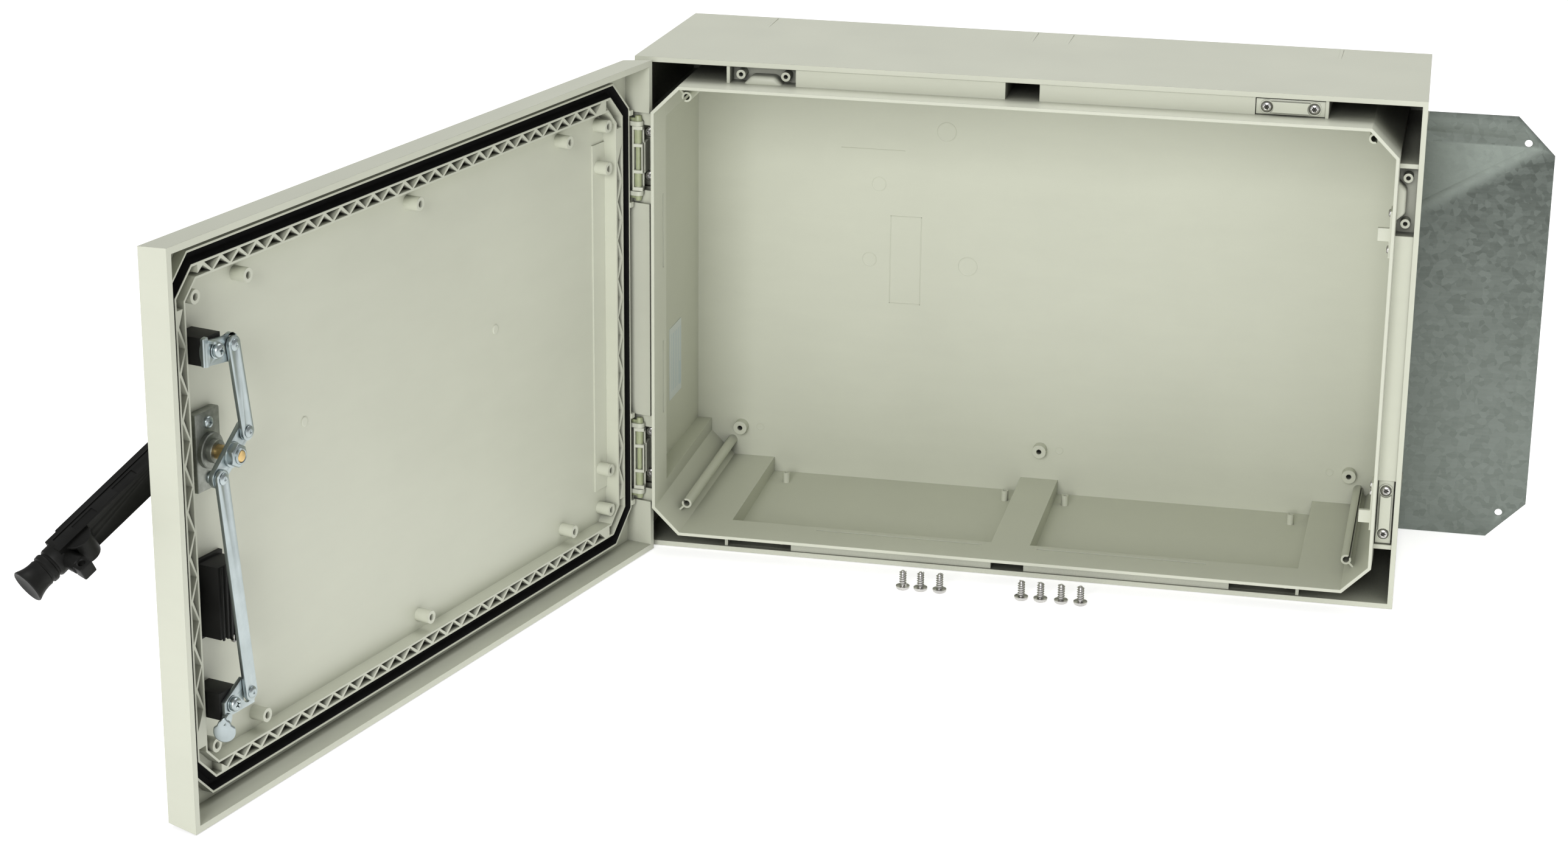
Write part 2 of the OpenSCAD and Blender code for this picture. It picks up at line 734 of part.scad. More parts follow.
module latch_screws() color(STEEL) on_door()
    for (at = [upper_pivot, lower_pivot]) {
        v_cylinder(5, -4.2, -0.6, at[0], at[1]);
        v_cylinder(5.6, -0.6, plate_front_v - 0.2, at[0], at[1]);
        v_cylinder(latch_hole_r - RUN, plate_front_v - 0.3, spacer_front_v + EPS, at[0], at[1]);
        v_cylinder(2.4, spacer_front_v, lattice_v + 8, at[0], at[1]);
    }

// Spacer block that seats over a door boss and carries a latch.
module latch_spacer(at) {
    difference() {
        slab(at[0] - spacer_half, at[0] + spacer_half, spacer_front_v, panel_v,
            at[1] - spacer_half, at[1] + spacer_half);
        v_cylinder(5, lattice_v, panel_v + 1, at[0], at[1]);
        v_cylinder(2.4, spacer_front_v - 1, lattice_v + 1, at[0], at[1]);
    }
}

module upper_spacer() color(BLACK) on_door() latch_spacer(upper_pivot);
module lower_spacer() color(BLACK) on_door() latch_spacer(lower_pivot);

// ---- handle ----

module handle_housing() color(BLACK) on_door()
    difference() {
        union() {
            slab(shaft_u - housing_half, shaft_u + housing_half, door_d + 1, housing_front_v,
                housing_bottom, housing_top);
            slab(shaft_u - 11.8, shaft_u + 11.8, well_back_v, door_d + 2, 121.2, 171.8);
            slab(shaft_u - 14, shaft_u + 14, panel_v - 3, panel_v, 119, 174);
            slab(shaft_u - 14, shaft_u - 11, well_back_v + 2, panel_v, 112, 119.2);
        }
        slab(shaft_u - 9.8, shaft_u + 9.8, well_back_v + 2, housing_front_v + 1, 123, 170);
        v_cylinder(shaft_r + RUN, door_d, housing_front_v + 1, shaft_u, shaft_z);
        for (half = [-1, 1])
            v_cylinder(2, door_d, housing_front_v - 0.5, shaft_u, shaft_z + half * 19);
        slab(shaft_u - 15, shaft_u - 10.5, well_back_v + 6, well_back_v + 9, 111, 116);
    }

module housing_seal() color(RUBBER) on_door()
    difference() {
        slab(shaft_u - housing_half, shaft_u + housing_half, door_d, door_d + 1, housing_bottom, housing_top);
        slab(shaft_u - 11.8, shaft_u + 11.8, door_d - 1, door_d + 2, 121.2, 171.8);
        v_cylinder(6, door_d - 1, door_d + 2, shaft_u, shaft_z);
        for (half = [-1, 1])
            v_cylinder(2.1, door_d - 1, door_d + 2, shaft_u, shaft_z + half * 19);
    }

module housing_screw() color(STEEL) on_door()
    translate([shaft_u - 12.4, -15.5, 112]) mirror([0, 0, 1]) {
        cylinder(r = 2.6, h = 1.6);
        translate([0, 0, -4]) cylinder(r = 1.2, h = 4.1);
    }

// Hub on the outer end of the shaft, with two ears for the lever pin.
module handle_hub() color(BLACK) on_door()
    translate([shaft_u, 0, shaft_z]) rotate([0, -lever_turn, 0]) {
        difference() {
            v_cylinder(14, housing_front_v + 0.3, pivot_v - lever_t / 2 - 0.5, 0, 0);
            v_cylinder(shaft_r, housing_front_v, housing_front_v + 0.5, 0, 0);
        }
        for (side = [-1, 1])
            difference() {
                union() {
                    translate([side * 12.4 - 1.5, -pivot_v, -5]) cube([3, pivot_v - housing_front_v - 1, 10]);
                    translate([side * 12.4 - 1.5, -pivot_v, 0]) rotate([0, 90, 0]) cylinder(r = 5, h = 3);
                }
                translate([side * 12.4 - 3, -pivot_v, 0]) rotate([0, 90, 0]) cylinder(r = 2, h = 6);
            }
    }

module lever_pin() color(STEEL) on_door()
    translate([shaft_u, -pivot_v, shaft_z]) rotate([0, -lever_turn, 0]) translate([-13.9, 0, 0])
        rotate([0, 90, 0]) cylinder(r = 2, h = 27.8);

// Swing lever, hanging down from the pivot at the origin, its outer face towards -Y.
module swing_lever() color(BLACK) on_lever() {
    half_w = lever_w / 2;
    half_t = lever_t / 2;
    difference() {
        union() {
            translate([-half_w, 0, 0]) rotate([0, 90, 0]) cylinder(r = half_t, h = lever_w);
            translate([-half_w, -half_t, -110]) cube([lever_w, lever_t, 110]);
            translate([-half_w + 3, -half_t - 2.2, -96]) cube([lever_w - 6, 3, 84]);
            translate([0, 0, -lever_len + 10]) lever_tip();
            translate([-8, half_t - 1, -104]) cube([16, 6, 18]);
            translate([-8, half_t + 5, -95]) rotate([0, 90, 0]) cylinder(r = 5, h = 16);
            translate([-9, 0, -112]) cube([18, 10, 14]);
        }
        translate([-half_w - 1, 0, 0]) rotate([0, 90, 0]) cylinder(r = 2 + RUN, h = lever_w + 2);
        for (side = [-1, 1])
            translate([side * half_w - 0.8, -3.4, -96]) cube([1.6, 2.2, 84]);
        y_cylinder(6.05, -12, 21, 0, -105);
    }
}

// Necked and flared end of the lever.
module lever_tip() {
    for (step = [[0, 9.2, 5], [5, 8, 12], [-4, 9.8, 4.5]])
        translate([0, 0, step[0]]) cylinder(r = step[1], h = step[2] + 0.5);
    translate([0, 0, -10]) cylinder(r1 = 13, r2 = 8.5, h = 6.5);
}

// Barrel lock through the lever, with its cross-drilled tail.
module lock_cylinder() color(BLACK) on_lever()
    difference() {
        union() {
            y_cylinder(6, -8.6, 20, 0, -105);
            translate([-5, 19, -110]) cube([10, 9, 10]);
            y_cylinder(2.6, 9, 14, 0, -105);
        }
        translate([-7, 23, -105]) rotate([0, 90, 0]) cylinder(r = 2.4, h = 14);
        translate([-0.6, -9.6, -108]) cube([1.2, 6, 6]);
    }

// ---- loose pieces ----

module mounting_plate() color(STEEL)
    translate([plate_x, 0, 0]) upright(body_d, body_d + plate_t) difference() {
        polygon([[plate_chamfer, 0], [plate_w - plate_chamfer, 0], [plate_w, plate_chamfer],
            [plate_w, plate_h - plate_chamfer], [plate_w - plate_chamfer, plate_h],
            [plate_chamfer, plate_h], [0, plate_h - plate_chamfer], [0, plate_chamfer]]);
        for (sx = [-1, 1], sz = [-1, 1])
            translate([plate_w / 2 + sx * plate_hole_pitch[0] / 2, plate_h / 2 + sz * plate_hole_pitch[1] / 2])
                circle(plate_hole_r);
    }

module plate_screws() color(STEEL)
    for (x = loose_xs)
        translate([x, loose_y, 0]) {
            cylinder(r = 5.5, h = 1.4);
            translate([0, 0, 1.4]) cylinder(r1 = 5.5, r2 = 3, h = 2);
            translate([0, 0, 3.4]) cylinder(r = 2.2, h = 10.8);
            translate([0, 0, 14.2]) cylinder(r1 = 2.2, r2 = 0.9, h = 1.8);
        }

module inspection_sticker() color(LABEL_BLUE)
    translate([wall, 0, 0]) rotate([0, 0, -atan(draft_side / body_d)])
        span([0, 83, 94], [0.3, 119, 155]);

body_shell();
door_shell();
door_gasket();
upper_hinge_leaf();
lower_hinge_leaf();
upper_hinge_pin();
lower_hinge_pin();
hinge_screws();
top_keeper();
side_keeper();
keeper_screws();
upper_striker();
lower_striker();
striker_screws();
lock_base_plate();
lock_base_screws();
lock_shaft();
crank_plate();
lock_nut();
crank_rivets();
upper_link();
lower_link();
upper_link_rivet();
lower_link_rivet();
upper_latch_plate();
lower_latch_plate();
latch_screws();
upper_spacer();
lower_spacer();
handle_housing();
housing_seal();
housing_screw();
handle_hub();
lever_pin();
swing_lever();
lock_cylinder();
mounting_plate();
plate_screws();
inspection_sticker();
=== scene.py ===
"""Looks of a moulded wall cabinet with a swing door, a two-point lock and a swing lever handle.

Every sub-assembly is a class with its sizes in millimetres. Door parts are modelled closed,
in front of the body, and then swung about the hinge axis to the angle they are stored at.
"""
from __future__ import annotations

import logging
import math
from collections.abc import Callable
from dataclasses import dataclass
from enum import Enum

import bpy
from mathutils import Matrix, Vector

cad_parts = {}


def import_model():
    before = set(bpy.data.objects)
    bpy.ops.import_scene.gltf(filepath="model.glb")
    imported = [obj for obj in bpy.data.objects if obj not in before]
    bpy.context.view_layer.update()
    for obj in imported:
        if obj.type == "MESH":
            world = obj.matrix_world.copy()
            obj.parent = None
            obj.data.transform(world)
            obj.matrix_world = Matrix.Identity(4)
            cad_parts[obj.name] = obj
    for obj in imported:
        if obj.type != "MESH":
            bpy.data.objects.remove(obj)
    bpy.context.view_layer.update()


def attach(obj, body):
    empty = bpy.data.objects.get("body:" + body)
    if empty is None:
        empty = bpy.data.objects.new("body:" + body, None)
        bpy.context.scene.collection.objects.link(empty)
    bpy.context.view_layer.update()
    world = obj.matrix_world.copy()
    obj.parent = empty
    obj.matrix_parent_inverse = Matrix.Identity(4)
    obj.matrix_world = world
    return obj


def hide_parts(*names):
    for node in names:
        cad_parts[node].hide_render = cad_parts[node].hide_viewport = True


LOG = logging.getLogger("cabinet")
MM = 0.001
Point = tuple[float, float, float]
Colour = tuple[float, float, float]


class Recess(Enum):
    """Drive recess in a screw's head."""

    CROSS = "cross"
    STAR = "star"


class Side(Enum):
    """Direction of a face's outward normal."""

    RIGHT = (1.0, 0.0, 0.0)
    FRONT = (0.0, -1.0, 0.0)
    BOTTOM = (0.0, 0.0, -1.0)


# ---- places ----


def shift(x: float, y: float, z: float) -> Matrix:
    """Translation by a distance in millimetres."""
    return Matrix.Translation(Vector((x, y, z)) * MM)


def turn(degrees: float, axis: str) -> Matrix:
    """Rotation about an axis through the origin."""
    return Matrix.Rotation(math.radians(degrees), 4, axis)


HINGE_X = 5.6
HINGE_Y = -11.5
DOOR_OPEN = 105.5
SHAFT_U = 544.0
SHAFT_Z = 248.0
PIVOT_V = 45.0
LEVER_TURN = 58.0
LEVER_TILT = 16.0

ON_DOOR = shift(HINGE_X, HINGE_Y, 0) @ turn(-DOOR_OPEN, "Z") @ shift(-HINGE_X, -HINGE_Y, 0)
ON_LEVER = (
    ON_DOOR @ shift(SHAFT_U, -PIVOT_V, SHAFT_Z) @ turn(-LEVER_TURN, "Y") @ turn(-LEVER_TILT, "X")
)
FACE_FRONT = turn(90, "X")
FACE_BACK = turn(-90, "X")


# ---- material tree ----


class Signal:
    """A number in a material tree, with Python's operators on it."""

    def __init__(self, tree: "MaterialTree", socket: bpy.types.NodeSocket) -> None:
        """Wraps an output socket of a tree."""
        self.tree = tree
        self.socket = socket

    def maths(self, operation: str, *terms: "Signal | float") -> "Signal":
        """Adds a Math node.

        Args:
            operation: The node's operation.
            terms: Its inputs, in order.

        Returns:
            The node's value.
        """
        inputs = dict(enumerate(terms))
        return self.tree.node("ShaderNodeMath", {"operation": operation}, inputs)

    def __add__(self, other: "Signal | float") -> "Signal":
        """Sum."""
        return self.maths("ADD", self, other)

    def __sub__(self, other: "Signal | float") -> "Signal":
        """Difference."""
        return self.maths("SUBTRACT", self, other)

    def __rsub__(self, other: float) -> "Signal":
        """Reflected difference."""
        return self.maths("SUBTRACT", other, self)

    def __mul__(self, other: "Signal | float") -> "Signal":
        """Product."""
        return self.maths("MULTIPLY", self, other)

    def __gt__(self, other: "Signal | float") -> "Signal":
        """One where this is greater, else zero."""
        return self.maths("GREATER_THAN", self, other)

    def __lt__(self, other: "Signal | float") -> "Signal":
        """One where this is less, else zero."""
        return self.maths("LESS_THAN", self, other)

    def __mod__(self, other: "Signal | float") -> "Signal":
        """Remainder that is never negative."""
        return self.maths("FLOORED_MODULO", self, other)

    __radd__ = __add__
    __rmul__ = __mul__


class MaterialTree:
    """The node tree of one material."""

    def __init__(self, name: str) -> None:
        """Starts a material with an empty tree.

        Args:
            name: The material's name.
        """
        self.material = bpy.data.materials.new(name)
        self.material.use_nodes = True
        self.nodes = self.material.node_tree.nodes
        self.links = self.material.node_tree.links
        self.nodes.clear()

    def node(
        self, kind: str, settings: dict | None = None, inputs: dict | None = None, output: int | str = 0
    ) -> Signal:
        """Adds a node of any type.

        Args:
            kind: The node's type.
            settings: Its properties; "stops" are a colour ramp's places and colours.
            inputs: Values or signals for its sockets, by name or number.
            output: The output socket to return.

        Returns:
            The chosen output.
        """
        made = self.nodes.new(kind)
        for key, value in (settings or {}).items():
            if key == "stops":
                self.fill_ramp(made.color_ramp, value)
            else:
                setattr(made, key, value)
        for key, value in (inputs or {}).items():
            if isinstance(value, Signal):
                self.links.new(value.socket, made.inputs[key])
            else:
                made.inputs[key].default_value = value
        return Signal(self, made.outputs[output])

    @staticmethod
    def fill_ramp(ramp: bpy.types.ColorRamp, stops: list[tuple[float, Colour]]) -> None:
        """Sets a ramp's stops.

        Args:
            ramp: The ramp to fill.
            stops: Each stop's place and colour.
        """
        while len(ramp.elements) < len(stops):
            ramp.elements.new(1.0)
        for element, (place, colour) in zip(ramp.elements, stops):
            element.position = place
            element.color = (*colour, 1.0)

    def coordinates(self, turned: Point = (0.0, 0.0, 0.0), stretch: Point = (1.0, 1.0, 1.0)) -> Signal:
        """Object coordinates, turned in degrees and stretched."""
        plain = self.node("ShaderNodeTexCoord", output="Object")
        angles = tuple(math.radians(a) for a in turned)
        return self.node("ShaderNodeMapping", {}, {"Vector": plain, "Rotation": angles, "Scale": stretch})

    def noise(self, where: Signal, scale: float, detail: float = 2.0, rough: float = 0.5) -> Signal:
        """Noise from zero to one, with its scale in cells to the metre."""
        inputs = {"Vector": where, "Scale": scale, "Detail": detail, "Roughness": rough}
        return self.node("ShaderNodeTexNoise", {}, inputs)

    def ramp(self, factor: Signal, *stops: tuple[float, Colour]) -> Signal:
        """Colour ramp with the given stops."""
        return self.node("ShaderNodeValToRGB", {"stops": list(stops)}, {0: factor})

    def blend(self, factor: Signal | float, first: Signal | Colour, second: Signal | Colour) -> Signal:
        """Mixes two colours."""
        pair = [c if isinstance(c, Signal) else (*c, 1.0) for c in (first, second)]
        inputs = {0: factor, 6: pair[0], 7: pair[1]}
        return self.node("ShaderNodeMix", {"data_type": "RGBA"}, inputs, 2)

    def relief(self, height: Signal, depth: float, edge: float = 0.0) -> Signal:
        """Surface normal from a height.

        Args:
            height: Height from zero to one.
            depth: What one unit of height is, in millimetres.
            edge: Radius to which sharp edges look rounded, in millimetres.

        Returns:
            The normal.
        """
        inputs = {"Height": height, "Distance": depth * MM, "Strength": 1.0}
        if edge:
            inputs["Normal"] = self.node("ShaderNodeBevel", {"samples": 4}, {"Radius": edge * MM})
        return self.node("ShaderNodeBump", {}, inputs)

    def finish(self, constants: dict, inputs: dict) -> bpy.types.Material:
        """Joins everything to the shader.

        Args:
            constants: Numbers and colours that are the same all over.
            inputs: Signals that vary.

        Returns:
            The material.
        """
        shader = self.node("ShaderNodeBsdfPrincipled", {}, {**constants, **inputs})
        self.node_output(shader)
        return self.material

    def node_output(self, shader: Signal) -> None:
        """Adds the output node."""
        end = self.nodes.new("ShaderNodeOutputMaterial")
        self.links.new(shader.socket, end.inputs["Surface"])


# ---- finishes ----


def tinted(colour: Colour, factor: float) -> Colour:
    """Colour made lighter or darker by a factor."""
    return (colour[0] * factor, colour[1] * factor, colour[2] * factor)


@dataclass(frozen=True)
class Finish:
    """Any finish: its material slot and its name."""

    slot: str
    name: str


@dataclass(frozen=True)
class MouldedShell(Finish):
    """Light grey moulded polycarbonate with a spark-eroded grain, and painted shade that darkens its colour
    in deep recesses.
    """

    colour: Colour = (0.585, 0.60, 0.50)
    roughness: float = 0.42
    grain: float = 0.02
    # The next two fields set the painted shade: how far the ambient occlusion looks, and how dark the shaded
    # colour is.
    painted_shade_reach: float = 60.0
    recess: float = 0.12

    def make(self) -> bpy.types.Material:
        """Builds the material."""
        tree = MaterialTree(self.name)
        place = tree.coordinates()
        cloud = tree.noise(place, 7.0, 3.0)
        speck = tree.noise(place, 1400.0, 2.0)
        flow = tree.noise(tree.coordinates(stretch=(1.0, 1.0, 4.0)), 16.0, 4.0, 0.6)
        tone = cloud * 0.6 + flow * 0.3 + speck * 0.1
        lit = tree.ramp(tone, (0.3, tinted(self.colour, 0.955)), (0.7, tinted(self.colour, 1.035)))
        # Painted shade: ambient occlusion darkens the base colour in deep recesses, pockets and inner
        # corners.
        openness = tree.node(
            "ShaderNodeAmbientOcclusion", {"samples": 8}, {"Distance": self.painted_shade_reach * MM}, "AO"
        )
        shade = tree.ramp(openness, (0.0, (0.0, 0.0, 0.0)), (0.3, (1.0, 1.0, 1.0)))
        colour = tree.blend(shade, tinted(self.colour, self.recess), lit)
        rough = flow * 0.12 + speck * 0.08 + (self.roughness - 0.1)
        normal = tree.relief(tree.noise(place, 2100.0, 2.0), self.grain, 0.55)
        inputs = {"Base Color": colour, "Roughness": rough, "Normal": normal}
        return tree.finish({"IOR": 1.5, "Specular IOR Level": 0.45}, inputs)


@dataclass(frozen=True)
class SealRubber(Finish):
    """Deep black foam rubber with a skin."""

    colour: Colour = (0.004, 0.004, 0.004)
    roughness: float = 0.85

    def make(self) -> bpy.types.Material:
        """Builds the material."""
        tree = MaterialTree(self.name)
        place = tree.coordinates()
        pores = tree.noise(place, 2600.0, 3.0)
        dust = tree.noise(place, 60.0, 4.0)
        colour = tree.ramp(dust, (0.35, self.colour), (0.8, tinted(self.colour, 1.9)))
        rough = pores * 0.14 + (self.roughness - 0.07)
        normal = tree.relief(pores, 0.05)
        inputs = {"Base Color": colour, "Roughness": rough, "Normal": normal}
        return tree.finish({"Specular IOR Level": 0.12}, inputs)


@dataclass(frozen=True)
class BlackMoulding(Finish):
    """Glass-filled black nylon with a fine grain and dusty edges."""

    colour: Colour = (0.0055, 0.0056, 0.005)
    roughness: float = 0.5

    def make(self) -> bpy.types.Material:
        """Builds the material."""
        tree = MaterialTree(self.name)
        place = tree.coordinates()
        grain = tree.noise(place, 1500.0, 3.0, 0.6)
        smear = tree.noise(place, 45.0, 4.0, 0.6)
        colour = tree.ramp(smear, (0.3, tinted(self.colour, 0.8)), (0.75, tinted(self.colour, 1.7)))
        rough = smear * 0.25 + grain * 0.1 + (self.roughness - 0.17)
        normal = tree.relief(grain, 0.045)
        inputs = {"Base Color": colour, "Roughness": rough, "Normal": normal}
        return tree.finish({"IOR": 1.5, "Specular IOR Level": 0.22}, inputs)


@dataclass(frozen=True)
class NaturalNylon(Finish):
    """Natural nylon, faintly yellow-green and a little translucent."""

    colour: Colour = (0.40, 0.44, 0.27)

    def make(self) -> bpy.types.Material:
        """Builds the material."""
        tree = MaterialTree(self.name)
        place = tree.coordinates()
        haze = tree.noise(place, 160.0, 3.0)
        colour = tree.ramp(haze, (0.3, tinted(self.colour, 0.88)), (0.7, tinted(self.colour, 1.06)))
        rough = haze * 0.1 + 0.3
        normal = tree.relief(tree.noise(place, 900.0), 0.02)
        inputs = {"Base Color": colour, "Roughness": rough, "Normal": normal}
        constants = {
            "Subsurface Weight": 0.35,
            "Subsurface Radius": (0.004, 0.004, 0.002),
            "Subsurface Scale": 1.0,
        }
        return tree.finish(constants, inputs)


@dataclass(frozen=True)
class Metal(Finish):
    """Bare or plated metal with tone, scratches and a fine surface."""

    colour: Colour = (0.62, 0.63, 0.63)
    bloom: Colour = (0.55, 0.58, 0.60)
    roughness: float = 0.3
    cloud: float = 90.0
    stretch: Point = (1.0, 1.0, 1.0)
    grit: float = 0.012
    grit_scale: float = 1800.0

    def make(self) -> bpy.types.Material:
        """Builds the material."""
        tree = MaterialTree(self.name)
        place = tree.coordinates(stretch=self.stretch)
        plain = tree.coordinates()
        tone = tree.noise(plain, self.cloud, 4.0, 0.62)
        brush = tree.noise(place, self.grit_scale, 3.0, 0.6)
        colour = tree.ramp(tone, (0.32, self.colour), (0.68, self.bloom))
        rough = tone * 0.18 + brush * 0.1 + (self.roughness - 0.14)
        normal = tree.relief(brush, self.grit)
        inputs = {"Base Color": colour, "Roughness": rough, "Normal": normal}
        return tree.finish({"Metallic": 1.0}, inputs)


@dataclass(frozen=True)
class Galvanised(Finish):
    """Hot-dip zinc on sheet steel: grey crystals that catch the light differently."""

    dark: Colour = (0.135, 0.155, 0.137)
    light: Colour = (0.205, 0.232, 0.21)
    crystal: float = 210.0

    def make(self) -> bpy.types.Material:
        """Builds the material."""
        tree = MaterialTree(self.name)
        place = tree.coordinates()
        cells = {"Vector": place, "Scale": self.crystal, "Randomness": 1.0}
        flake = tree.node("ShaderNodeTexVoronoi", {"feature": "F1"}, cells, "Color")
        shade = tree.node("ShaderNodeSeparateColor", {}, {0: flake})
        rolled = tree.noise(tree.coordinates(stretch=(0.12, 1.0, 1.0)), 420.0, 3.0)
        cloud = tree.noise(place, 9.0, 3.0)
        tone = shade * 0.35 + rolled * 0.35 + cloud * 0.3
        colour = tree.ramp(tone, (0.25, self.dark), (0.75, self.light))
        rough = shade * 0.12 + rolled * 0.12 + 0.36
        normal = tree.relief(tree.noise(place, 500.0, 3.0) * 0.6 + shade * 0.4, 0.02)
        inputs = {"Base Color": colour, "Roughness": rough, "Normal": normal}
        return tree.finish({"Metallic": 0.8}, inputs)


@dataclass(frozen=True)
class PaperLabel(Finish):
    """White film label with plain pale blue bars."""

    paper: Colour = (0.66, 0.71, 0.70)
    ink: Colour = (0.36, 0.50, 0.60)

    def make(self) -> bpy.types.Material:
        """Builds the material."""
        tree = MaterialTree(self.name)
        place = tree.node("ShaderNodeTexCoord", output="Object")
        height = tree.node("ShaderNodeSeparateXYZ", {}, {0: place}, "Z")
        depth = tree.node("ShaderNodeSeparateXYZ", {}, {0: place}, "Y")
        rows = ((depth % 0.0052) < 0.0022) * (height > 0.100) * (height < 0.149) * (depth > 0.089)
        band = (depth > 0.1135) * (depth < 0.1158) * (height > 0.099) * (height < 0.119)
        print_mask = tree.node("ShaderNodeMath", {"operation": "MAXIMUM"}, {0: rows * 0.55, 1: band})
        worn = tree.noise(place, 500.0, 3.0)
        colour = tree.blend(print_mask * (worn * 0.3 + 0.7), self.paper, self.ink)
        rough = worn * 0.15 + 0.3
        return tree.finish({"Coat Roughness": 0.2}, {"Base Color": colour, "Roughness": rough})


@dataclass(frozen=True)
class StudioPaper(Finish):
    """White paper sweep under the object."""

    colour: Colour = (0.90, 0.90, 0.895)

    def make(self) -> bpy.types.Material:
        """Builds the material."""
        tree = MaterialTree(self.name)
        fibre = tree.noise(tree.coordinates(), 30.0, 3.0)
        colour = tree.ramp(fibre, (0.3, tinted(self.colour, 0.995)), (0.7, self.colour))
        constants = {
            "Roughness": 0.9,
            "Specular IOR Level": 0.1,
            "Emission Color": (1.0, 1.0, 1.0, 1.0),
            "Emission Strength": 0.62,
        }
        return tree.finish(constants, {"Base Color": colour})


FINISHES = (
    MouldedShell("shell", "moulded_shell"),
    SealRubber("rubber", "seal_rubber"),
    BlackMoulding("black_plastic", "black_moulding"),
    NaturalNylon("nylon", "natural_nylon"),
    Metal("stainless", "stainless_steel", (0.60, 0.59, 0.57), (0.52, 0.51, 0.50), 0.3, 120.0),
    Metal("zinc", "blue_zinc", (0.44, 0.495, 0.505), (0.37, 0.42, 0.425), 0.34, 45.0, grit=0.006),
    Metal(
        "die_cast", "die_cast_zinc", (0.30, 0.315, 0.285), (0.215, 0.225, 0.20), 0.46, 160.0,
        grit=0.04, grit_scale=900.0
    ),
    Metal("brass", "turned_brass", (0.70, 0.50, 0.22), (0.60, 0.42, 0.19), 0.3, 150.0),
    Galvanised("galvanised", "galvanised_sheet"),
    PaperLabel("label", "film_label"),
)


class Paintshop:
    """Makes each finish once and puts it on pieces."""

    def __init__(self) -> None:
        """Makes all the finishes."""
        self.ready = {finish.slot: finish.make() for finish in FINISHES}

    def paint(self, piece: bpy.types.Object, slot: str) -> None:
        """Gives a piece one finish.

        Args:
            piece: The piece.
            slot: The finish's material slot.
        """
        piece.data.materials.clear()
        piece.data.materials.append(self.ready[slot])
        for face in piece.data.polygons:
            face.material_index = 0


# ---- modelling ----


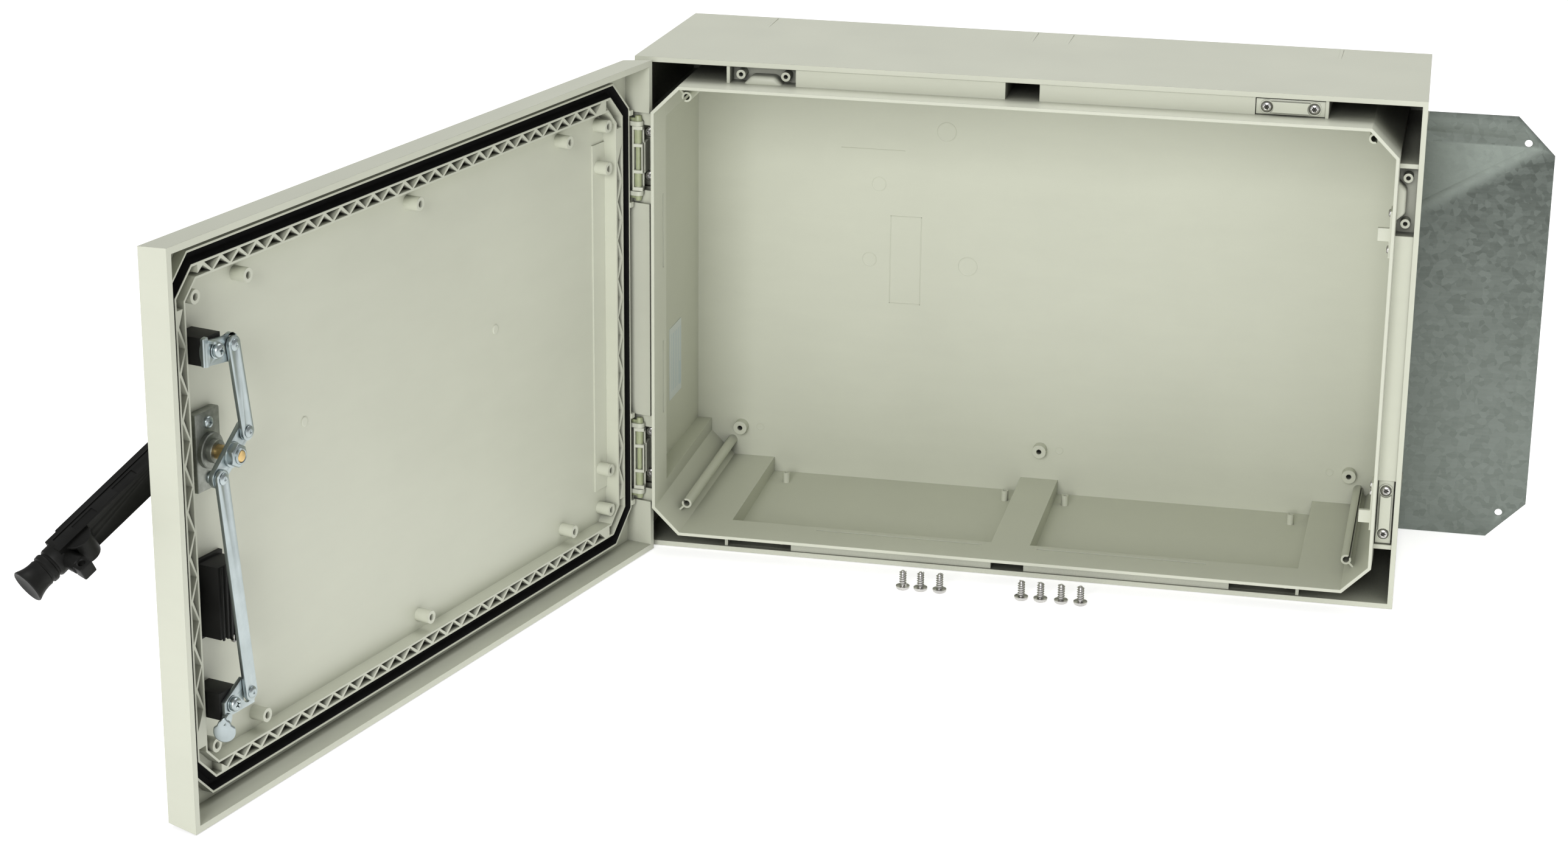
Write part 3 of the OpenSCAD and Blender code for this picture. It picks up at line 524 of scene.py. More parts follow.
class Bench:
    """Modelling steps shared by all the sub-assemblies. Sizes are in millimetres."""

    @staticmethod
    def take(*pieces: bpy.types.Object) -> None:
        """Selects these pieces alone and makes the first one active."""
        bpy.ops.object.select_all(action="DESELECT")
        for piece in pieces:
            piece.select_set(True)
        bpy.context.view_layer.objects.active = pieces[0]

    @staticmethod
    def named(name: str) -> bpy.types.Object:
        """Names the active piece and puts its place in its mesh."""
        piece = bpy.context.active_object
        piece.name = name
        piece.data.name = name
        bpy.ops.object.transform_apply(location=True, rotation=True, scale=True)
        return piece

    @classmethod
    def block(cls, name: str, low: Point, high: Point) -> bpy.types.Object:
        """Rectangular block between two corners."""
        bpy.ops.object.select_all(action="DESELECT")
        centre = (Vector(low) + Vector(high)) / 2 * MM
        size = (Vector(high) - Vector(low)) * MM
        bpy.ops.mesh.primitive_cube_add(size=1.0, location=centre)
        bpy.context.active_object.scale = size
        return cls.named(name)

    @classmethod
    def turned(
        cls, name: str, steps: list[tuple[float, float]], sides: int = 40, closed: bool = True
    ) -> bpy.types.Object:
        """Turned piece about +Z.

        Args:
            name: The piece's name.
            steps: Radius and height of each edge, from one end to the other.
            sides: Sides of the circle.
            closed: Not used.

        Returns:
            The piece.
        """
        bpy.ops.object.select_all(action="DESELECT")
        radius, height = steps[0]
        bpy.ops.mesh.primitive_circle_add(
            vertices=sides, radius=radius * MM, fill_type="NGON", location=(0, 0, height * MM)
        )
        piece = cls.named(name)
        bpy.ops.object.mode_set(mode="EDIT")
        bpy.ops.mesh.select_all(action="SELECT")
        for (r0, z0), (r1, z1) in zip(steps, steps[1:]):
            rise = (0.0, 0.0, (z1 - z0) * MM)
            bpy.ops.mesh.extrude_region_move(TRANSFORM_OT_translate={"value": rise})
            scale = r1 / r0
            bpy.ops.transform.resize(value=(scale, scale, 1.0), center_override=(0, 0, z1 * MM))
        bpy.ops.mesh.select_all(action="SELECT")
        bpy.ops.mesh.normals_make_consistent(inside=False)
        bpy.ops.object.mode_set(mode="OBJECT")
        return piece

    @classmethod
    def copied(cls, node: str, name: str) -> bpy.types.Object:
        """Merged copy of a CAD node's mesh, as a new piece.

        Args:
            node: The CAD node.
            name: The new piece's name.

        Returns:
            The piece.
        """
        source = bpy.data.objects[node]
        piece = bpy.data.objects.new(name, source.data.copy())
        piece.data.name = name
        bpy.context.scene.collection.objects.link(piece)
        cls.take(piece)
        if piece.data.has_custom_normals:
            bpy.ops.mesh.customdata_custom_splitnormals_clear()
        bpy.ops.object.mode_set(mode="EDIT")
        bpy.ops.mesh.select_all(action="SELECT")
        bpy.ops.mesh.remove_doubles(threshold=0.000002)
        bpy.ops.mesh.dissolve_limited(angle_limit=math.radians(0.6))
        bpy.ops.object.mode_set(mode="OBJECT")
        return piece

    @classmethod
    def soften(
        cls, piece: bpy.types.Object, width: float, segments: int = 2, angle: float = 32.0
    ) -> bpy.types.Object:
        """Rounds a piece's sharp edges and smooths the rest.

        Args:
            piece: The piece.
            width: Width of the rounding.
            segments: Steps across it.
            angle: Edges sharper than this are rounded.

        Returns:
            The piece.
        """
        cls.take(piece)
        if width:
            bevel = piece.modifiers.new("edge", "BEVEL")
            bevel.width = width * MM
            bevel.segments = segments
            bevel.limit_method = "ANGLE"
            bevel.angle_limit = math.radians(angle)
            bevel.harden_normals = False
            bpy.ops.object.modifier_apply(modifier="edge")
        bpy.ops.object.shade_smooth_by_angle(angle=math.radians(38.0))
        return piece

    @classmethod
    def pull(
        cls,
        piece: bpy.types.Object,
        test: Callable[[Vector], bool],
        scale: Point = (1.0, 1.0, 1.0),
        centre: Point = (0.0, 0.0, 0.0),
        move: Point = (0.0, 0.0, 0.0),
    ) -> bpy.types.Object:
        """Resizes and moves some of a piece's points.

        Args:
            piece: The piece.
            test: Whether a point, in millimetres, is taken.
            scale: Scale along each axis.
            centre: Centre of the scaling.
            move: Distance moved.

        Returns:
            The piece.
        """
        cls.take(piece)
        bpy.ops.object.mode_set(mode="EDIT")
        bpy.ops.mesh.select_mode(type="VERT")
        bpy.ops.mesh.select_all(action="DESELECT")
        bpy.ops.object.mode_set(mode="OBJECT")
        for vertex in piece.data.vertices:
            vertex.select = test(vertex.co / MM)
        bpy.ops.object.mode_set(mode="EDIT")
        bpy.ops.transform.resize(value=scale, center_override=Vector(centre) * MM)
        bpy.ops.transform.translate(value=Vector(move) * MM)
        bpy.ops.object.mode_set(mode="OBJECT")
        return piece

    @classmethod
    def sink(
        cls, piece: bpy.types.Object, test: Callable[[Vector], bool], border: float, move: Point
    ) -> bpy.types.Object:
        """Sinks a groove in some of a piece's faces and leaves a border round it.

        Args:
            piece: The piece.
            test: Whether a face, by its centre in millimetres, is taken.
            border: Width left on both sides.
            move: Where the groove's floor goes.

        Returns:
            The piece.
        """
        cls.take(piece)
        bpy.ops.object.mode_set(mode="EDIT")
        bpy.ops.mesh.select_mode(type="FACE")
        bpy.ops.mesh.select_all(action="DESELECT")
        bpy.ops.object.mode_set(mode="OBJECT")
        for face in piece.data.polygons:
            face.select = test(face.center / MM)
        bpy.ops.object.mode_set(mode="EDIT")
        bpy.ops.mesh.inset(thickness=border * MM)
        bpy.ops.transform.translate(value=Vector(move) * MM)
        bpy.ops.object.mode_set(mode="OBJECT")
        return piece

    @classmethod
    def halve(cls, piece: bpy.types.Object, at: Point, side: Side) -> bpy.types.Object:
        """Cuts a piece by a plane and removes what lies on one side.

        Args:
            piece: The piece.
            at: A point on the plane.
            side: The side that is removed.

        Returns:
            The piece.
        """
        cls.take(piece)
        bpy.ops.object.mode_set(mode="EDIT")
        bpy.ops.mesh.select_all(action="SELECT")
        bpy.ops.mesh.bisect(
            plane_co=Vector(at) * MM, plane_no=side.value, use_fill=True, clear_outer=True
        )
        bpy.ops.object.mode_set(mode="OBJECT")
        return piece

    @classmethod
    def cut(cls, piece: bpy.types.Object, *tools: bpy.types.Object) -> bpy.types.Object:
        """Takes the tools' shapes out of a piece, and removes the tools."""
        return cls.combine(piece, "DIFFERENCE", *tools)

    @classmethod
    def fuse(cls, piece: bpy.types.Object, *parts: bpy.types.Object) -> bpy.types.Object:
        """Makes one solid of a piece and other parts."""
        return cls.combine(piece, "UNION", *parts)

    @classmethod
    def combine(cls, piece: bpy.types.Object, operation: str, *tools: bpy.types.Object) -> bpy.types.Object:
        """Applies one boolean operation for each tool, and removes the tools."""
        for tool in tools:
            cls.take(piece)
            step = piece.modifiers.new("cut", "BOOLEAN")
            step.operation = operation
            step.solver = "EXACT"
            step.object = tool
            bpy.ops.object.modifier_apply(modifier="cut")
            bpy.data.objects.remove(tool)
        return piece

    @classmethod
    def join(cls, name: str, pieces: list[bpy.types.Object]) -> bpy.types.Object:
        """Joins pieces into one object."""
        cls.take(*pieces)
        if len(pieces) > 1:
            bpy.ops.object.join()
        pieces[0].name = name
        pieces[0].data.name = name
        return pieces[0]

    @staticmethod
    def place(piece: bpy.types.Object, where: Matrix) -> bpy.types.Object:
        """Moves a piece's mesh."""
        piece.data.transform(where)
        piece.data.update()
        return piece

    @classmethod
    def repeat(
        cls, master: bpy.types.Object, name: str, places: list[Matrix]
    ) -> bpy.types.Object:
        """Copies a piece to several places and joins the copies.

        Args:
            master: The piece to copy; it is removed.
            name: Name of the joined piece.
            places: Where the copies go.

        Returns:
            The joined piece.
        """
        copies = []
        for where in places:
            copy = bpy.data.objects.new(name, master.data.copy())
            bpy.context.scene.collection.objects.link(copy)
            copies.append(cls.place(copy, where))
        bpy.data.objects.remove(master)
        return cls.join(name, copies)


@dataclass
class SubAssembly:
    """Any sub-assembly: it dresses its pieces through the paintshop."""

    shop: Paintshop

    def add(
        self, piece: bpy.types.Object, body: str, slot: str, *nodes: str
    ) -> bpy.types.Object:
        """Finishes a new piece.

        Args:
            piece: The piece.
            body: The CAD body it rides on.
            slot: Its finish.
            nodes: CAD nodes that it stands for.

        Returns:
            The piece.
        """
        self.shop.paint(piece, slot)
        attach(piece, body)
        if nodes:
            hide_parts(*nodes)
        LOG.info("%s rides on %s, %d faces", piece.name, body, len(piece.data.polygons))
        return piece

    def keep(self, node: str, slot: str) -> None:
        """Dresses a CAD node that is shown as it is."""
        self.shop.paint(bpy.data.objects[node], slot)
        LOG.info("%s is dressed in %s", node, slot)

    def refine(self, node: str, body: str, slot: str, width: float, segments: int = 2) -> bpy.types.Object:
        """Replaces a CAD node with a copy whose edges are rounded."""
        piece = Bench.soften(Bench.copied(node, node + "_finished"), width, segments)
        return self.add(piece, body, slot, node)


# ---- screws ----


@dataclass
class PanScrew:
    """Pan-head screw with its head's underside at the origin and its shank along +Z."""

    head_r: float
    head_h: float
    shank_r: float
    length: float
    recess: Recess = Recess.CROSS
    pitch: float = 0.0
    tip: float = 1.0
    washers: tuple[tuple[float, float], ...] = ()

    def head(self) -> bpy.types.Object:
        """Domed head, below the origin."""
        r, h = self.head_r, self.head_h
        steps = [(r * 0.42, -h), (r * 0.72, -h * 0.93), (r * 0.91, -h * 0.68), (r, -h * 0.32), (r, 0.0)]
        head = Bench.turned("head", steps, 48)
        if self.recess is Recess.CROSS:
            arms = []
            for angle in (0, 90):
                arm = Bench.block("arm", (-r * 0.5, -r * 0.1, -h - 1), (r * 0.5, r * 0.1, -h * 0.25))
                arms.append(Bench.place(arm, turn(angle, "Z")))
            pit = Bench.turned("pit", [(r * 0.3, -h - 1), (r * 0.2, -h * 0.2)], 16)
            Bench.cut(head, *arms, pit)
        if self.recess is Recess.STAR:
            lobes = []
            for index in range(3):
                lobe = Bench.block("lobe", (-r * 0.46, -r * 0.13, -h - 1), (r * 0.46, r * 0.13, -h * 0.3))
                lobes.append(Bench.place(lobe, turn(60 * index, "Z")))
            pit = Bench.turned("pit", [(r * 0.34, -h - 1), (r * 0.34, -h * 0.3)], 18)
            Bench.cut(head, *lobes, pit)
        return Bench.soften(head, 0.12, 2, 40.0)

    def shank(self) -> bpy.types.Object:
        """Shank with a helical thread if it has a pitch."""
        r = self.shank_r
        core = r * (0.74 if self.pitch else 1.0)
        end = self.length
        steps = [(core, -0.1), (core, end - self.tip), (core * 0.45, end)]
        shank = Bench.soften(Bench.turned("shank", steps, 24), 0.0)
        if not self.pitch:
            return shank
        thread = self.thread(core * 0.96, r, 0.5, end - self.tip * 0.6)
        return Bench.join("shank", [shank, thread])

    def thread(self, root: float, crest: float, low: float, high: float) -> bpy.types.Object:
        """Helical ridge round the shank.

        Args:
            root: Radius inside the shank.
            crest: Radius of the crest.
            low: Where the thread starts.
            high: Where it ends.

        Returns:
            The ridge.
        """
        bpy.ops.object.select_all(action="DESELECT")
        bpy.ops.mesh.primitive_circle_add(
            vertices=4, radius=self.pitch * 0.26 * MM, fill_type="NGON", location=(0, 0, 0),
            rotation=(math.radians(90), 0, 0),
        )
        ridge = Bench.named("thread")
        depth = (crest - root) / (self.pitch * 0.52)
        Bench.place(ridge, shift((root + crest) / 2, 0, low) @ Matrix.Diagonal((depth, 1.0, 0.8, 1.0)))
        Bench.take(ridge)
        turns = max(1, round((high - low) / self.pitch))
        coil = ridge.modifiers.new("coil", "SCREW")
        coil.axis = "Z"
        coil.screw_offset = self.pitch * MM
        coil.iterations = turns
        coil.steps = 20
        coil.render_steps = 20
        coil.use_normal_calculate = True
        bpy.ops.object.modifier_apply(modifier="coil")
        bpy.ops.object.mode_set(mode="EDIT")
        bpy.ops.mesh.select_all(action="SELECT")
        bpy.ops.mesh.remove_doubles(threshold=0.000001)
        bpy.ops.mesh.fill_holes(sides=0)
        bpy.ops.mesh.select_all(action="SELECT")
        bpy.ops.mesh.normals_make_consistent(inside=False)
        bpy.ops.object.mode_set(mode="OBJECT")
        return Bench.soften(ridge, 0.0)

    def build(self) -> bpy.types.Object:
        """Models the screw."""
        parts = [self.head(), self.shank()]
        seat = 0.05
        for radius, height in self.washers:
            washer = Bench.turned("washer", [(radius, seat), (radius, seat + height - 0.1)], 40)
            parts.append(Bench.soften(washer, 0.15, 2))
            seat += height
        return Bench.join("screw", parts)


@dataclass
class Rivet:
    """Domed rivet with a dimple, its head's underside at the origin and its shank along +Z."""

    head_r: float = 4.1
    head_h: float = 1.7
    shank_r: float = 2.5
    length: float = 5.0

    def build(self) -> bpy.types.Object:
        """Models the rivet."""
        r, h = self.head_r, self.head_h
        steps = [
            (r * 0.16, -h * 0.55), (r * 0.3, -h * 0.98), (r * 0.48, -h), (r * 0.66, -h * 0.86),
            (r * 0.84, -h * 0.56), (r * 0.96, -h * 0.36), (r, -h * 0.2), (r * 0.98, 0.0),
            (self.shank_r, 0.01), (self.shank_r, self.length),
        ]
        return Bench.soften(Bench.turned("rivet", steps, 36), 0.0)


# ---- sub-assemblies ----


@dataclass
class CabinetBody(SubAssembly):
    """The moulded body with its keepers, strikers and label."""

    back_y: float = 174.0
    marks: tuple[tuple[float, float, float], ...] = (
        (215, 311, 8), (160, 264, 6), (153, 199.5, 6), (235, 199, 8),
        (62, 46, 3.2), (316, 46, 3.2), (538, 46, 3.2),
    )

    def pocket_lands(self) -> None:
        """Rounded lands between the bosses of the open keeper pockets."""
        land = Bench.block("land", (-16.5, 2.6, -8.0), (16.5, 17.0, 0.0))
        Bench.pull(land, lambda point: point.z > -1, (0.55, 1.0, 1.0))
        Bench.soften(land, 2.6, 3, 30.0)
        places = [
            shift(100, 0, 388.6),
            shift(588.6, 0, 322.5) @ turn(90, "Y"),
            shift(100, 0, 11.4) @ turn(180, "Y"),
            shift(500, 0, 11.4) @ turn(180, "Y"),
        ]
        self.add(Bench.repeat(land, "pocket_lands", places), "cabinet", "shell")

    def keeper_blocks(self) -> None:
        """Raised middles of the fitted keepers, scooped at both ends round the screws."""
        block = Bench.block("block", (-14.2, -0.4, -3.9), (14.2, 3.0, 4.4))
        for side in (-1, 1):
            scoop = Bench.turned("scoop", [(5.0, -5), (5.0, 5)], 40)
            Bench.cut(block, Bench.place(scoop, shift(side * 17.5, 1, 0) @ FACE_BACK))
        Bench.soften(block, 0.8, 3)
        seat = Bench.turned("seat", [(5.3, 0.0), (5.3, 0.7), (4.4, 0.71), (4.4, 0.1)], 48)
        seats = Bench.repeat(seat, "seats", [shift(side * 17.5, 2.7, 0) @ FACE_FRONT for side in (-1, 1)])
        block = Bench.join("block", [block, seats])
        places = [shift(500, 0, 389), shift(589, 1.5, 77.5) @ turn(90, "Y")]
        self.add(Bench.repeat(block, "keeper_blocks", places), "cabinet", "shell")

    def moulding_marks(self) -> None:
        """Faint round ejector marks and insert lines on the back wall."""
        parts = []
        for x, z, radius in self.marks:
            steps = [(radius, -1.0), (radius, 0.12), (radius - 0.35, 0.2), (radius - 0.9, 0.02)]
            disc = Bench.turned("mark", steps, 40)
            parts.append(Bench.place(disc, shift(x, self.back_y, z) @ FACE_FRONT))
        lines = (
            ((170, 163), (170.7, 238)), ((195.3, 163), (196, 238)), ((170, 163), (196, 163.7)),
            ((170, 237.3), (196, 238)), ((128, 292.6), (181, 293.2)),
        )
        for (x0, z0), (x1, z1) in lines:
            ridge = Bench.block("line", (x0, self.back_y - 0.25, z0), (x1, self.back_y + 0.5, z1))
            parts.append(Bench.soften(ridge, 0.12, 2))
        self.add(Bench.join("moulding_marks", parts), "cabinet", "shell")

    def keeper_screws(self) -> None:
        """Star-recess screws of the keepers."""
        screw = PanScrew(4.0, 2.2, 1.6, 9.5, Recess.STAR).build()
        places = [shift(500 + side * 17.5, 2.6, 389) @ FACE_BACK for side in (-1, 1)]
        places += [shift(589, 4.1, 77.5 + side * 17.5) @ FACE_BACK for side in (-1, 1)]
        screws = Bench.repeat(screw, "keeper_screws_finished", places)
        self.add(screws, "cabinet", "stainless", "keeper_screws")

    def striker_screws(self) -> None:
        """Small screws of the strikers."""
        screw = PanScrew(3.0, 1.8, 1.6, 3.9, Recess.CROSS).build()
        places = [shift(578.4, -2, z) @ turn(90, "Y") for z in (287, 315, 95, 101.5)]
        screws = Bench.repeat(screw, "striker_screws_finished", places)
        self.add(screws, "cabinet", "stainless", "striker_screws")

    def build(self) -> None:
        """Models and dresses the body's pieces."""
        self.keep("body_shell", "shell")
        self.keep("inspection_sticker", "label")
        for node in ("top_keeper", "side_keeper", "upper_striker", "lower_striker"):
            self.refine(node, "cabinet", "shell", 0.35)
        self.keeper_blocks()
        self.pocket_lands()
        self.moulding_marks()
        self.keeper_screws()
        self.striker_screws()


@dataclass
class Hinges(SubAssembly):
    """Both hinges: leaves on the body and pins on the door."""

    levels: tuple[float, float] = (77.5, 322.5)

    def build(self) -> None:
        """Models and dresses the hinges."""
        for level in ("upper", "lower"):
            self.refine(f"{level}_hinge_leaf", "cabinet", "shell", 0.2)
            self.refine(f"{level}_hinge_pin", "door", "nylon", 0.25)
        sleeve = Bench.soften(Bench.turned("sleeve", [(2.9, -5.3), (2.9, 5.3)], 32), 0.1)
        places = [shift(HINGE_X, HINGE_Y, z + side * 17.2) for z in self.levels for side in (-1, 1)]
        self.add(Bench.repeat(sleeve, "hinge_sleeves", places), "cabinet", "nylon")
        screw = PanScrew(4.1, 2.4, 1.6, 9.5, Recess.STAR).build()
        places = [shift(11, 4, z + side * 17.5) @ FACE_BACK for z in self.levels for side in (-1, 1)]
        self.add(Bench.repeat(screw, "hinge_screws_finished", places), "cabinet", "stainless", "hinge_screws")


@dataclass
class Door(SubAssembly):
    """The door shell and its gasket."""

    panel_v: float = 26.5
    seal_y: float = -20.3
    swell: float = 5.6
    marks: tuple[tuple[float, float], ...] = ((190.0, 232.0), (430.0, 232.0))

    def build(self) -> None:
        """Models and dresses the door's pieces."""
        self.keep("door_shell", "shell")
        gasket = Bench.copied("door_gasket", "door_gasket_finished")
        Bench.place(gasket, ON_DOOR.inverted())
        Bench.pull(gasket, lambda point: point.y > self.seal_y - 0.2, move=(0, self.swell, 0))
        top = self.seal_y + self.swell - 0.2
        Bench.sink(gasket, lambda centre: centre.y > top, 2.3, (0, -self.swell, 0))
        self.add(Bench.place(Bench.soften(gasket, 0.5, 2), ON_DOOR), "door", "rubber", "door_gasket")
        discs = []
        for u, z in self.marks:
            steps = [(3.6, -1.0), (3.6, 0.45), (3.2, 0.7), (2.4, 0.7)]
            disc = Bench.turned("mark", steps, 36)
            discs.append(Bench.place(disc, ON_DOOR @ shift(u, -self.panel_v, z) @ FACE_BACK))
        marks = Bench.soften(Bench.join("door_marks", discs), 0.0)
        self.add(marks, "door", "shell")


@dataclass
class Lock(SubAssembly):
    """Base plate, crank, push links and latches."""

    crank_top: tuple[float, float] = (529.6, 259.8)
    crank_low: tuple[float, float] = (558.4, 236.2)
    upper_rivet: tuple[float, float] = (540.0, 321.5)
    lower_rivet: tuple[float, float] = (538.2, 80.1)
    upper_pivot: tuple[float, float] = (556.0, 322.0)
    lower_pivot: tuple[float, float] = (556.0, 78.0)

    @staticmethod
    def at(point: tuple[float, float], v: float) -> Matrix:
        """Place on the open door with +Z into the door."""
        return ON_DOOR @ shift(point[0], -v, point[1]) @ FACE_FRONT

    def screws(self) -> None:
        """Cross-recess screws of the base plate and the latches."""
        screw = PanScrew(4.2, 2.5, 2.0, 13.5, Recess.CROSS).build()
        places = [self.at((SHAFT_U, SHAFT_Z + side * 19), 19.5) @ turn(25 * side, "Z") for side in (-1, 1)]
        self.add(Bench.repeat(screw, "lock_base_screws_finished", places), "door", "zinc", "lock_base_screws")
        washers = ((4.5, 0.55), (5.6, 0.8))
        screw = PanScrew(4.9, 3.3, 2.35, 23.0, Recess.CROSS, washers=washers).build()
        places = [
            self.at(self.upper_pivot, -0.6) @ turn(20, "Z"),
            self.at(self.lower_pivot, -0.6) @ turn(-15, "Z"),
        ]
        self.add(Bench.repeat(screw, "latch_screws_finished", places), "door", "zinc", "latch_screws")

    def rivets(self) -> None:
        """Domed rivets at both ends of each link."""
        rivet = Rivet(length=7.5).build()
        places = [self.at(self.crank_top, -2.3), self.at(self.crank_low, -2.3)]
        self.add(Bench.repeat(rivet, "crank_rivets_finished", places), "hub", "zinc", "crank_rivets")
        for level, point in (("upper", self.upper_rivet), ("lower", self.lower_rivet)):
            rivet = Rivet(length=7.2).build()
            tail = Bench.soften(Bench.turned("tail", [(4.9, 6.5), (4.9, 7.2)], 36), 0.15)
            piece = Bench.place(Bench.join("rivet", [rivet, tail]), self.at(point, -2.1))
            piece.name = f"{level}_link_rivet_finished"
            self.add(piece, f"{level}_push_link", "zinc", f"{level}_link_rivet")

    def nut(self) -> None:
        """Flanged hexagon nut with a rounded collar."""
        body = Bench.turned("nut", [(8.3, 0.0), (8.3, 5.4)], 6)
        cone = Bench.turned("cone", [(6.2, -0.2), (8.9, 1.4), (8.9, 6.0)], 48)
        Bench.combine(body, "INTERSECT", cone)
        collar = [(5.6, 1.0), (5.6, -0.9), (5.1, -1.5), (4.5, -1.6), (4.05, -1.2), (4.05, 1.0)]
        ring = Bench.turned("collar", collar, 40)
        flange = Bench.turned("flange", [(8.6, 5.0), (8.6, 6.4)], 48)
        parts = [Bench.soften(part, width) for part, width in ((body, 0.25), (ring, 0.0), (flange, 0.3))]
        nut = Bench.place(Bench.join("lock_nut_finished", parts), self.at((SHAFT_U, SHAFT_Z), -5.4))
        self.add(nut, "hub", "zinc", "lock_nut")

    def shaft(self) -> None:
        """Brass shaft with a chamfered, threaded tip."""
        steps = [(2.9, -7.0), (3.5, -6.9), (4.0, -6.3)]
        for index in range(8):
            z = -6.1 + index * 0.8
            steps += [(4.0, z), (3.65, z + 0.3), (4.0, z + 0.6)]
        steps += [(4.0, 4.4), (5.0, 4.5), (5.0, 34.5)]
        shaft = Bench.soften(Bench.turned("lock_shaft_finished", steps, 40), 0.0)
        self.add(Bench.place(shaft, self.at((SHAFT_U, SHAFT_Z), 0.0)), "hub", "brass", "lock_shaft")

    def base_plate(self) -> None:
        """Cast base plate with sloped shoulders and a stepped boss."""
        plate = Bench.soften(Bench.block("plate", (-13, -26.5, -27), (13, -19.5, 27)), 1.3, 2)
        steps = [(6.3, 11.9), (7.7, 12.0), (8.0, 12.6), (8.0, 15.8), (11.4, 16.0), (12.0, 16.6), (12.3, 21.0)]
        boss = Bench.soften(Bench.turned("boss", steps, 56), 0.0)
        piece = Bench.join("lock_base_finished", [plate, Bench.place(boss, FACE_FRONT)])
        Bench.place(piece, ON_DOOR @ shift(SHAFT_U, 0, SHAFT_Z))
        self.add(piece, "door", "die_cast", "lock_base_plate")

    def upper_latch(self) -> None:
        """Upper latch: a plate with a rounded hook wall across its free end."""
        pivot_u, pivot_z = self.upper_pivot
        plate = Bench.copied("upper_latch_plate", "upper_latch_finished")
        Bench.place(plate, ON_DOOR.inverted())
        Bench.halve(plate, (pivot_u + 11.6, 0, 0), Side.RIGHT)
        Bench.pull(plate, lambda point: point.x < pivot_u - 22.0, move=(0, 0, -3.4))
        Bench.pull(plate, lambda point: point.x > pivot_u + 7.5 and point.z > pivot_z, move=(0, 0, 2.0))
        Bench.place(Bench.soften(plate, 0.4), ON_DOOR)
        hook = Bench.turned("hook", [(16.0, -1.3), (16.0, 1.3)], 96)
        Bench.halve(hook, (0, 12.8, 0), Side.FRONT)
        Bench.soften(hook, 0.6, 3)
        stand = ON_DOOR @ shift(pivot_u + 11.8, 12.0, pivot_z + 0.8) @ turn(180, "Z") @ turn(90, "Y")
        Bench.place(hook, stand)
        latch = Bench.join("upper_latch_finished", [plate, hook])
        self.add(latch, "upper_latch", "zinc", "upper_latch_plate")

    def lower_latch(self) -> None:
        """Lower latch: a plate with a twisted neck and a teardrop tongue."""
        pivot_u, pivot_z = self.lower_pivot
        plate = Bench.copied("lower_latch_plate", "lower_latch_finished")
        Bench.soften(Bench.halve(plate, (0, 0, pivot_z - 11.5), Side.BOTTOM), 0.4)
        tongue = Bench.turned("tongue", [(7.4, -1.25), (7.4, 1.25)], 40)
        Bench.pull(tongue, lambda point: point.y > 0.5, (1.0, 1.35, 1.0))
        Bench.pull(tongue, lambda point: point.y > 4.0, (0.72, 1.0, 1.0))
        Bench.pull(tongue, lambda point: point.y > 7.5, (0.7, 1.0, 1.0))
        Bench.soften(tongue, 0.7, 3)
        stand = ON_DOOR @ shift(pivot_u + 10.0, -0.8, pivot_z - 16.2) @ turn(118, "Z") @ turn(90, "X")
        Bench.place(tongue, stand)
        latch = Bench.join("lower_latch_finished", [plate, tongue])
        self.add(latch, "lower_latch", "zinc", "lower_latch_plate")

    def build(self) -> None:
        """Models and dresses the lock."""
        self.base_plate()
        self.screws()
        self.rivets()
        self.nut()
        self.shaft()
        self.upper_latch()
        self.lower_latch()
        self.refine("crank_plate", "hub", "zinc", 0.35)
        for level in ("upper", "lower"):
            self.refine(f"{level}_link", f"{level}_push_link", "zinc", 0.35)
            self.refine(f"{level}_spacer", "door", "black_plastic", 0.4)


